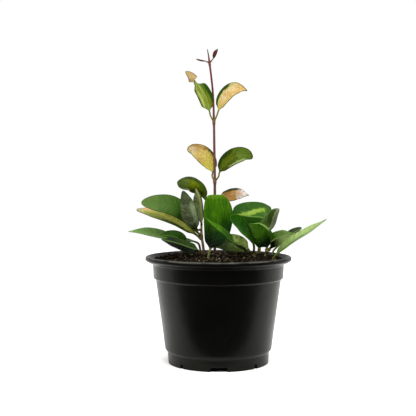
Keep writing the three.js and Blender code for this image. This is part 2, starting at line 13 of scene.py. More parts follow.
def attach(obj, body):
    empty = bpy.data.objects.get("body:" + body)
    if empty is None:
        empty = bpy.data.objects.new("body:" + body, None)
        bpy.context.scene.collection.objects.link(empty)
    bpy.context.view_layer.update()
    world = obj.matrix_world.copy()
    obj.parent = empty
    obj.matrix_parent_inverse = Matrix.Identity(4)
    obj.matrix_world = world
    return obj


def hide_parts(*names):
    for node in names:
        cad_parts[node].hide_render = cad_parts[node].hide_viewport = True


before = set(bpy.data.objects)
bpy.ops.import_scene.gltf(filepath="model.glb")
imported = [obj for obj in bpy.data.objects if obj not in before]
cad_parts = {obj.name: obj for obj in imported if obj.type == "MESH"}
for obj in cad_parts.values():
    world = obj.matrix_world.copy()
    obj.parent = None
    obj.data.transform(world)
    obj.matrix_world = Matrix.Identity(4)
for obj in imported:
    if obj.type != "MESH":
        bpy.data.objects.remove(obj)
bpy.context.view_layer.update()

# Lengths below are millimetres, and meshes are written in metres.
# A pair named LIMITS is where a soft step starts and where it is complete.
# A tuple named NOISE is waves a metre, detail, roughness and, except on leaves, an offset.
# A tuple named BUMP is strength and distance.
MM = 0.001
SEED = 11
NOISE_SHIFT = (1, 0.7, 1.3)

# Photograph's camera
CAMERA_PLACE = (-11.7, -940, 203.5)
CAMERA_PITCH = 0.0314
CAMERA_LENS = 72
SENSOR_WIDTH = 36

# Studio: a white floor and backdrop, a dark room in front, one large light and a weak one
FLOOR_REACH = 1500
FLOOR_FRONT = -82
FLOOR_COLOUR = (250, 249, 246)
FLOOR_ROUGH = 0.9
FLOOR_GLOW = 0.18
# Millimetres outside the pot's foot over which the floor's glow fades in, a painted shade round the foot
FLOOR_SHADE = 25
WORLD_LEVEL = 0.8
ROOM_LIMITS = (0.95, -0.12)
ROOM_TOP_LIMITS = (0.75, 0.45)
CEILING_LIMITS = (0.6, 0.85)
CEILING_LEVEL = 1.6
LIGHT_TARGET = (0, 0, 150)
LIGHTS = [
    dict(name="key", place=(300, -700, 1300), size=900, power=16),
    dict(name="fill", place=(-900, -700, 700), size=800, power=5),
]

# Nursery pot
POT_HEIGHT = 120
LIP_RADIUS = 82.5
LIP_ROUND = 2
LIP_BEVEL = 0.3
LIP_DEPTH = 5.2
MOUTH_RADIUS = 78.1
MOUTH_DROP = 1.2
COLLAR_RADIUS = 74.1
COLLAR_FLARE = 9
COLLAR_BOTTOM = 95.7
COLLAR_TAPER = 0.7
COLLAR_STEP = 1.7
WALL_TOP_RADIUS = 70.8
WALL_FOOT_RADIUS = 60.2
WALL_FOOT_Z = 15.5
BAND_RADIUS = 57.4
BAND_TOP = 12.5
BASE_RADIUS = 56.8
WALL = 1.5
POT_FLOOR = 2
POT_SIDES = 192
CORNER_STEPS = 4
CORNER_REACH = 0.45
SHARP_ANGLE = 35

# Drainage under the pot's floor; the cutters start a little below it
CUT_BELOW = 1
CHANNEL_COUNT = 4
CHANNEL_WIDTH = 20
CHANNEL_TOP_WIDTH = 17
CHANNEL_HEIGHT = 4.5
CHANNEL_START = 20
CHANNEL_INSET = 0.5
SMALL_NOTCH_WIDTH = 3.5
SMALL_NOTCH_START = 52
DRAIN_RADIUS = 4.5
DRAIN_SIDES = 48
CHANNEL_DRAIN_PLACE = 42
FLOOR_DRAIN_PLACE = 38

# Pot's plastic: near black and dusty, with a painted highlight along the lip's outer top edge
PLASTIC_COLOURS = ((4, 4, 3), (8, 8, 7))
PLASTIC_SHEEN = (255, 255, 240)
PLASTIC_SPECULAR = 0.12
PLASTIC_ROUGH = 0.24
PLASTIC_ROUGH_SWING = 0.2
BROAD_NOISE = (16, 5, 0.6, 2)
RIPPLE_NOISE = (55, 3, 0.6, 7)
FINE_NOISE = (700, 2, 0.5, 5)
SCUFF_NOISE = (90, 6, 0.75, 9)
PLASTIC_RELIEF = dict(fine=0.3, ripple=2.2, broad=3.0)
PLASTIC_BUMP = (0.25, 0.4)
DUST_COLOUR = (92, 84, 68)
DUST_LIMITS = (0.64, 0.8)
DUST_SHARE = 0.12
# The lip's painted highlight: how far below the rim it reaches, its colour, and its limits on the ripple
# noise
LIP_HIGHLIGHT_DEPTH = 1
LIP_HIGHLIGHT_COLOUR = (62, 60, 54)
LIP_HIGHLIGHT_LIMITS = (0.3, 0.6)

# Soil mound, the same as the frame's solid
SOIL_CREST = 120.5
SOIL_FALL = 0.0008
SOIL_EDGE_DROP = 1.5
SOIL_EDGE = 73.8
SOIL_EDGE_POWER = 8
SOIL_CALM_EDGE = 12
LUMP_HEIGHT = 0.6
BROAD_LUMPS = dict(x=0.31, y=0.27, start_x=1.1, start_y=0.4)
SMALL_LUMPS = dict(share=0.6, x=0.53, y=-0.47, start=2)

# Crumbly top that lies on it. Clods and crumbs each have waves a millimetre, layer, level and height.
SOIL_COVER = 0.9
SOIL_LAYER = 2.6
SOIL_REACH = 74.4
SOIL_RINGS = 104
SOIL_SPOKES = 340
RING_CROWDING = 0.75
UNDERSIDE_REACH = 0.6
CLODS = (0.36, 4.2, 0.62, 2.1)
CRUMBS = (0.9, 1.7, 0.55, 0.8)
SWELLS = dict(waves=0.05, layer=8.1, height=0.8, fractal=(0.8, 2.0, 3))
COVER_FADE = 5
COVER_AT_EDGE = 0.35

# Loose grains on it. They are uneven, tipped by up to some radians and raised by a share of their size.
GRAIN_UNEVEN = 0.55
GRAIN_WAVES = 1.7
GRAIN_SHIFT = 100
GRAIN_TIP_X = 0.5
GRAIN_TIP_Y = 0.3
GRAIN_RAISE = 0.15
GRAIN_EDGE = 2

# Tan grit is denser to the left, pale grit and strands before the middle
TAN_LIMITS = (10, -45)
TAN_LEAST = 0.25
PALE_CENTRE = (-6, -26)
PALE_SPREAD = (20, 34)
PALE_LEAST = 0.1

# Thin strands on it
FIBRE_COUNT = 110
FIBRE_LENGTH = (2.5, 9)
FIBRE_RADIUS = (0.14, 0.34)
FIBRE_BEND = 0.35
FIBRE_ARCH = 1.4
FIBRE_STEPS = 7
FIBRE_SIDES = 6

# Soil's surface: dark, light and pale colour of each kind
SOIL_COLOURS = {
    "potting_mix": ((8, 6, 4), (28, 23, 16), (100, 86, 62)),
    "bark": ((26, 20, 14), (54, 42, 28), (92, 76, 52)),
    "tan_grit": ((72, 58, 38), (112, 92, 62), (146, 126, 90)),
    "pale_grit": ((96, 90, 70), (148, 142, 116), (190, 184, 160)),
    "strands": ((60, 50, 32), (104, 94, 64), (150, 142, 108)),
}
SOIL_CLUMP_NOISE = (260, 5, 0.7, 1)
SOIL_CLUMP_LIMITS = (0.38, 0.66)
SOIL_GRAIN_NOISE = (1500, 4, 0.7, 4)
SOIL_GRAIN_LIMITS = (0.6, 0.72)
SOIL_GRAIN_SHARE = 0.6
SOIL_ROUGH = 0.95
SOIL_SPECULAR = 0.02
SOIL_BUMP = (0.9, 0.9)

# Leaf blades
EDGE_THICKNESS = 0.8
RIB_THICKNESS = 1.5
RIB_TAPER = 0.2
RIB_GROOVE = 0.28
RIB_RIDGE = 0.4
RIB_SPREAD = 0.85
ROOT_DEPTH = 12
FOOT_SWELL = 0.4
FOOT_PLACE = 1.8
FOOT_LENGTH = 1.6
BLADE_OPENING = 0.14
POINT_START = 0.72
TIP_HALF_WIDTH = 0.5
TIP_ROUND = 0.015
TIP_LEAST = 0.02
CREASE = 1.0
CREASE_LEAST_WIDTH = 2
WAVE_FREQUENCY = 0.06
WAVE_SHARE = 0.05
WAVE_HEIGHT = 0.9
WAVE_LIMITS = (0.05, 0.3)
WAVE_AT_RIB = 0.25
LEAF_SEED_STEP = 5.3
LEAF_OFFSET_STEP = 0.37

# Leaf surface. A streak is waves a millimetre over and along it, and an offset.
VEIN_SLANT = 0.7
VEIN_SPACING = 4.6
VEIN_SHARE = 0.06
VEIN_LIMITS = (0.8, 1.0)
VEIN_END_LIMITS = (0.95, 0.5)
VEIN_STREAK = (0.55, 0.09, 5)
LONG_STREAK = (0.9, 0.07, 9)
STREAK_DETAIL = 2
STREAK_ROUGHNESS = 0.5
STREAK_LIMITS = (0.46, 0.66)
STREAK_SHADE = 0.5
CLOUD_NOISE = (130, 4, 0.6)
CLOUD_LIMITS = (0.4, 0.62)
GRAIN_NOISE = (700, 2, 0.5)
GRAIN_OFFSET = 3
SIDE_LIMITS = (-0.15, 0.15)
ZONE_WARP = 1.6
RIB_LIMITS = (1.3, 0.5)
RIM_LIMITS = (1.5, 0.5)
RIM_WANDER = 1.0
RIM_SHARE = 0.85
STALK_LIMITS = (0.05, -0.01)
LEAF_ROUGH = 0.42
LEAF_ROUGH_BELOW = 0.52
LEAF_ROUGH_SWING = 0.16
LEAF_SPECULAR = 0.04
LEAF_RELIEF = dict(grains=0.3, veins=-0.35, clouds=0.8, streaks=0.4)
LEAF_BUMP = (0.5, 0.35)

# Stems: a swollen node with a thin ring at each end of it, and a slightly uneven round section
NODE_SWELL = 0.4
NODE_LENGTH = 3
RING_SWELL = 0.1
RING_PLACE = 1.6
RING_LENGTH = 0.45
NODE_TINT_LENGTH = 2.2
NODE_TINT = 0.7
STEM_UNEVEN = 0.06
STEM_UNEVEN_FREQUENCY = 0.25
STEM_END_LEAST = 0.01
STEM_NOISE = (500, 2, 0.5, 0)
STEM_STREAK_LIMITS = (0.45, 0.7)
STEM_STREAK_SHARE = 0.15
STEM_ROUGH = 0.5
STEM_BUMP = (0.4, 0.3)
STEM_SEED_STEP = 3.1

# Steps of the finer skins
ROUTE_DIVISIONS = 200
TANGENT_STEP = 1e-4
LEAF_COLUMNS = 72
BLADE_STATIONS = 76
STATION_EVENNESS = 0.45
STALK_STEP = 1.2
STEM_SIDES = 28
STEM_STEP = 0.9

# Sockets of a Mix node that blends two colours
MIX_SHARE, MIX_FIRST, MIX_SECOND, MIX_RESULT = 0, 6, 7, 2

# Stems, from the cut end in the soil to the tip, with a radius for each point
STEMS = [
    dict(
        name="vine_stem_middle", look="red", nodes=[3, 5, 8],
        path=[[-4, 5, 102], [-4, 5, 137.5], [-4, 5, 176], [-4, 5, 204], [-4.5, 4.5, 239.5], [-5, 4, 271],
            [-6, 3, 301.5], [-8, 1, 321.5], [-10, 0, 337], [-11, -1, 344.5], [-12.5, -2, 352.5]],
        radii=[1.7, 1.6, 1.6, 1.5, 1.4, 1.3, 1.15, 1.1, 1.1, 0.8, 0.45]),
    dict(
        name="vine_stem_left", look="brown", nodes=[3, 5],
        path=[[-16, -6, 104], [-16, -6, 119], [-17.5, -6, 133.5], [-19, -6, 142.5], [-19, -6, 150.5],
            [-19, -7, 157]], radii=[1.6, 1.6, 1.5, 1.4, 1.2, 1.0]),
    dict(
        name="vine_stem_right", look="olive", nodes=[3],
        path=[[47.5, 25, 99.5], [47.5, 25, 116.5], [48, 25, 128], [49, 25, 139]],
        radii=[2.2, 2.1, 1.9, 1.7]),
    dict(
        name="cutting_stem_right", look="olive", nodes=[2],
        path=[[52.5, -6, 104], [53, -6, 119], [55, -8, 128]], radii=[1.9, 1.9, 1.8]),
]

# Leaves. stalk_path runs from the stem or the soil to the blade, rib along the blade's midrib to its tip.
# face is the way the upper side looks, from the base to the tip. fold lifts each half, in degrees.
# wide, full and point shape the outline; halves scales the two sides; cup adds curve across each half.
# A leaf with no stem grows out of the soil. What a leaf doesn't say is as in BASE_LEAF.
BASE_LEAF = dict(stem=None, slot="leaf_green", wide=0.5, full=0.6, point=0.55, cup=0, halves=[1, 1])

LEAVES = [
    dict(
        name="leaf_tip_right", stem="vine_stem_middle", slot="leaf_bud", width=5.5, stalk=0.6, fold=[20],
        stalk_path=[[-10, 0, 337]], rib=[[-6, -3, 341.5], [-3.5, -5, 347], [-1, -6, 352]],
        face=[[-0.5, -0.8, 0.2]]),
    dict(
        name="leaf_tip_left", stem="vine_stem_middle", slot="leaf_bud", width=3, stalk=0.6, fold=[25],
        stalk_path=[[-10, 0, 337]], rib=[[-15, -2, 339], [-20, -3, 339.5], [-25, -4, 341]],
        face=[[0, -0.3, 1]]),
    dict(
        name="leaf_upper_left", stem="vine_stem_middle", slot="leaf_variegated", width=17, stalk=0.9,
        wide=0.32, full=0.5, point=0.12, fold=[12, 8, 4, 0], stalk_path=[[-5, 4, 271], [-9, 2, 278.5]],
        rib=[[-10, 2, 283], [-13, 0, 295.5], [-18.5, -2, 306.5], [-26.5, -2, 316], [-31, -2, 322.5],
            [-37, -2, 327.5]],
        face=[[-0.2, 1, 0.1], [-0.2, 1, 0.1], [-0.1, 1, 0.1], [-0.1, 1, 0.2], [-0.8, 0.3, -0.7],
            [0.3, -1, -0.1], [0.3, -1, -0.1]]),
    dict(
        name="leaf_upper_right", stem="vine_stem_middle", slot="leaf_variegated", width=19, stalk=0.9,
        halves=[0.8, 1], fold=[12], stalk_path=[[-5, 4, 271], [-1.5, 2, 279]],
        rib=[[0, 2, 283.5], [6, -1, 296.5], [15, -4, 305.5], [24.5, -5, 307.5], [32.5, -5, 305.5]],
        face=[[-0.3, -1, 0.25]]),
    dict(
        name="leaf_middle_left", stem="vine_stem_middle", slot="leaf_variegated", width=20, stalk=0.9,
        wide=0.5, full=0.5, point=0, fold=[10], stalk_path=[[-4, 5, 204], [-7, 8, 210]],
        rib=[[-6.5, 9, 214], [-9.5, 10, 225.5], [-18, 9, 235], [-27.5, 7, 239.5], [-35.5, 5, 240.5]],
        face=[[-0.3, -1, 0.3]]),
    dict(
        name="leaf_middle_right", stem="vine_stem_middle", slot="leaf_variegated", width=20, stalk=0.9,
        wide=0.52, full=0.52, point=0.15, fold=[10], stalk_path=[[-4, 5, 204], [0.5, 2, 210]],
        rib=[[1, 1, 213.5], [7.5, -2, 224], [18.5, -5, 232], [30.5, -7, 234], [38.5, -7, 230]],
        face=[[-0.3, -1, 0.3]]),
    dict(
        name="leaf_lower_left", stem="vine_stem_middle", slot="leaf_variegated", width=22, stalk=1,
        wide=0.66, full=0.42, point=0, halves=[0.85, 1], fold=[-14],
        stalk_path=[[-4, 5, 176], [-8, 2, 179.5]],
        rib=[[-14, 0, 182.5], [-17.5, -3, 192], [-23.5, -7, 199], [-32.5, -11, 203.5], [-46, -14, 201]],
        face=[[-0.2, -1, 0.4], [-0.1, -0.8, 0.7]]),
    dict(
        name="leaf_lower_right", stem="vine_stem_middle", slot="leaf_variegated", width=16, stalk=0.9,
        wide=0.42, fold=[-8], stalk_path=[[-4, 5, 176], [0, 4, 182.5]],
        rib=[[1.5, 3, 186], [11, 0, 188.5], [22, -3, 190.5], [34.5, -5, 188.5]], face=[[0, -1, 0.5]]),
    dict(
        name="leaf_large_left", stem="vine_stem_left", width=24, stalk=1.3, wide=0.52, full=0.5,
        point=0.1, fold=[6], stalk_path=[[-19, -6, 142.5], [-26.5, -10, 150]],
        rib=[[-32.5, -13, 157], [-41, -17, 170.5], [-53.5, -20, 177.5], [-70, -22, 180],
            [-85.5, -22, 180.5]], face=[[-0.2, -1, 0.6]]),
    dict(
        name="leaf_yellow_left", stem="vine_stem_left", slot="leaf_variegated", width=15, stalk=1.3,
        wide=0.55, full=0.42, point=0.3, halves=[1, 1.15], fold=[4], stalk_path=[[-19, -6, 139]],
        rib=[[-24.5, -3, 143.5], [-45.5, -3, 159.5], [-68, -5, 168], [-92, -8, 172.5]],
        face=[[-0.1, -1, 0.8]]),
    dict(
        name="leaf_upright_left", stem="vine_stem_left", width=18, stalk=1.2, wide=0.46, full=0.52,
        point=0.2, fold=[8], stalk_path=[[-19, -6, 150]],
        rib=[[-24, -14, 150.5], [-31.5, -25, 165], [-35, -31, 180], [-39, -34, 194]], face=[[0.1, 1, 0.2]]),
    dict(
        name="leaf_upright_middle", stem="vine_stem_left", width=17, stalk=1, wide=0.35, full=0.42,
        fold=[36, 36, 36, 12], stalk_path=[[-19, -7, 157]],
        rib=[[-19, -9, 157.5], [-19.5, -12, 170], [-21, -15, 183.5], [-25.5, -18, 196.5]],
        face=[[-0.6, 0.8, 0.1]]),
    dict(
        name="leaf_variegated_back", stem="vine_stem_right", slot="leaf_variegated", width=44, stalk=1.2,
        wide=0.45, full=0.3, point=0.05, cup=-20, halves=[0.92, 0.5], fold=[0],
        stalk_path=[[49, 25, 137], [53, 30, 145.5]],
        rib=[[64, 29.5, 157.5], [51, 28.5, 162.5], [34.5, 29.5, 164], [16.5, 30, 167.5]],
        face=[[0, -1, 0.45]]),
    dict(
        name="leaf_upright_right", stem="vine_stem_right", width=20, stalk=1.2, wide=0.55, full=0.45,
        point=0.1, fold=[20], stalk_path=[[49, 25, 135.5], [52.5, 21, 140]],
        rib=[[56, 19.5, 145.5], [61.5, 19, 154], [65.5, 20, 166], [69.5, 22, 173]],
        face=[[-0.7, -0.6, 0.3]]),
    dict(
        name="leaf_bowl_right", stem="cutting_stem_right", width=30, stalk=1.3, wide=0.36, full=0.5,
        halves=[0.86, 0.72], fold=[5], stalk_path=[[53.4, -7.2, 126]],
        rib=[[54.5, -7.5, 129.5], [50, -7, 139], [44, -6, 147.5], [34, -4, 156.5]], face=[[-0.2, -1, 0.5]]),
    dict(
        name="leaf_cupped_right", stem="cutting_stem_right", width=33, stalk=1.3, wide=0.3, full=0.45,
        fold=[44, 50, 50, 16], stalk_path=[[56.4, -7.8, 126]],
        rib=[[57.8, -8.3, 128.8], [64.5, -9.5, 131.5], [75.5, -11, 138], [87, -12, 145.5]],
        face=[[0, -0.3, 1]]),
    dict(
        name="leaf_pale_left", width=18, stalk=1.2, wide=0.62, fold=[8],
        stalk_path=[[-21, 16, 117.5], [-21, 14, 128]],
        rib=[[-23.5, 12, 133.5], [-44, 6, 138.5], [-65, 1, 143.5], [-83, -2, 147], [-101.5, -4, 147.5]],
        face=[[0, -0.6, 1]]),
    dict(
        name="leaf_round_left", width=19, stalk=1.1, wide=0.38, full=0.5, fold=[4],
        stalk_path=[[-32, -6, 119], [-33.5, -8, 127]],
        rib=[[-37.5, -13, 133], [-46.5, -18, 141.5], [-64, -26, 145]], face=[[-0.2, -0.9, 0.8]]),
    dict(
        name="leaf_dark_left", width=18, stalk=1.1, wide=0.34, full=0.4, halves=[1.25, 0.8], fold=[-12],
        stalk_path=[[-19.5, -22.5, 117.5], [-19.5, -23, 123]],
        rib=[[-22, -26, 127.5], [-31.5, -28, 131], [-44.5, -32, 136], [-62.5, -37, 141]],
        face=[[0, -0.9, 1]]),
    dict(
        name="leaf_big_centre", width=35, stalk=1.3, wide=0.62, full=0.28, point=0, halves=[1.2, 0.66],
        fold=[8], stalk_path=[[-12, -42, 117], [-11, -42, 123.5]],
        rib=[[-9.5, -42, 130], [-8, -38, 140.5], [-6, -34, 153], [-5.5, -31, 170.5], [-7, -28, 189.5]],
        face=[[0.2, -1, 0.3]]),
    dict(
        name="leaf_narrow_crossing", width=10, stalk=1.2, full=0.5, fold=[16],
        stalk_path=[[36.5, -8, 121], [35.8, -10.5, 124.5]],
        rib=[[31.5, -20, 127.3], [19, -41, 135], [5.5, -54, 149], [-6, -59, 158], [-15.5, -61, 166.5]],
        face=[[-0.45, -0.7, 0.75]]),
    dict(
        name="leaf_broad_low", slot="leaf_variegated", width=22, stalk=1.2, full=0.5, fold=[5],
        stalk_path=[[37, 8, 118], [36.5, 6, 122]],
        rib=[[34.5, 3, 126.5], [24.5, -2, 133], [11, -7, 134.5], [-4, -11, 130.5]], face=[[0.1, -1, 0.5]]),
    dict(
        name="leaf_dark_green", width=17, stalk=1.3, wide=0.68, full=0.5, point=0, halves=[0.95, 1.25],
        fold=[10], stalk_path=[[41, -5, 117.5], [40, -6, 124.5]],
        rib=[[39.5, -13, 132.5], [34.5, -23, 144], [28, -32, 153], [21, -39, 160.5], [12, -45, 165.5]],
        face=[[0.5, -0.9, 0.5]]),
    dict(
        name="leaf_small_back", width=17, stalk=1.1, wide=0.6, full=0.45, point=0.1, fold=[10],
        stalk_path=[[63, 32, 115], [65, 34, 122.5]],
        rib=[[71.5, 35, 129], [84.5, 35, 141.5], [98, 34, 150]], face=[[-0.3, -0.4, 1]]),
    dict(
        name="leaf_long_right", width=14, stalk=1.3, wide=0.45, fold=[14], stalk_path=[[59, -30, 117]],
        rib=[[61.5, -31, 122], [70.5, -32, 131.5], [82, -33, 140.5], [98.5, -35, 150.5], [117, -38, 163]],
        face=[[-0.3, -0.5, 1]]),
]

# Colours are 0 to 255. upper and under are the two sides of a leaf, each with its main colour, its mottling
# and its streaks. streaks run out along the side veins, or along the blade where grain is LENGTHWISE.
# A zone is a soft patch of one colour in the leaf's own frame: along from the base at 0 to the tip at 1,
# across from one margin at -1 to the other at 1, how strong it is, and which side it shows on.
# An end at -1 along, or at 2 or -2, lies off the blade. soft is half the width of a blurred end, and warp
# how far the outline wanders. From the base to the tip the patch moves by slant towards the margin at -1.
# Some zones are not the leaf's own colour but painted shade or painted highlights; each such zone is
# marked.
BOTH, UPPER, LOWER = "both", "upper", "lower"
VEINWISE, LENGTHWISE = "veinwise", "lengthwise"


def zone(colour, along=(-1, 2), across=(-2, 2), share=1.0, soft=0.1, warp=0.15, slant=0.0, side=BOTH):
    return dict(
        colour=colour, along=along, across=across, share=share, soft=soft, warp=warp, slant=slant,
        side=side)


def base_zone(colour, end, **rest):
    """A zone from the stalk to a place along the blade."""
    return zone(colour, along=(-1, end), **rest)


def tip_zone(colour, start, **rest):
    """A zone from a place along the blade to its tip."""
    return zone(colour, along=(start, 2), **rest)


BASE_LOOK = dict(
    upper=[(48, 80, 14), (38, 68, 8), (60, 92, 22)], streak_share=0.4, grain=VEINWISE,
    under=[(84, 100, 58), (68, 84, 42), (96, 110, 70)],
    rib=(84, 110, 44), rib_share=0.2, rib_width=0.7, rim=(30, 44, 10), rim_width=0.5,
    stalk=(84, 84, 34), speckle=0.2, zones=[],
)

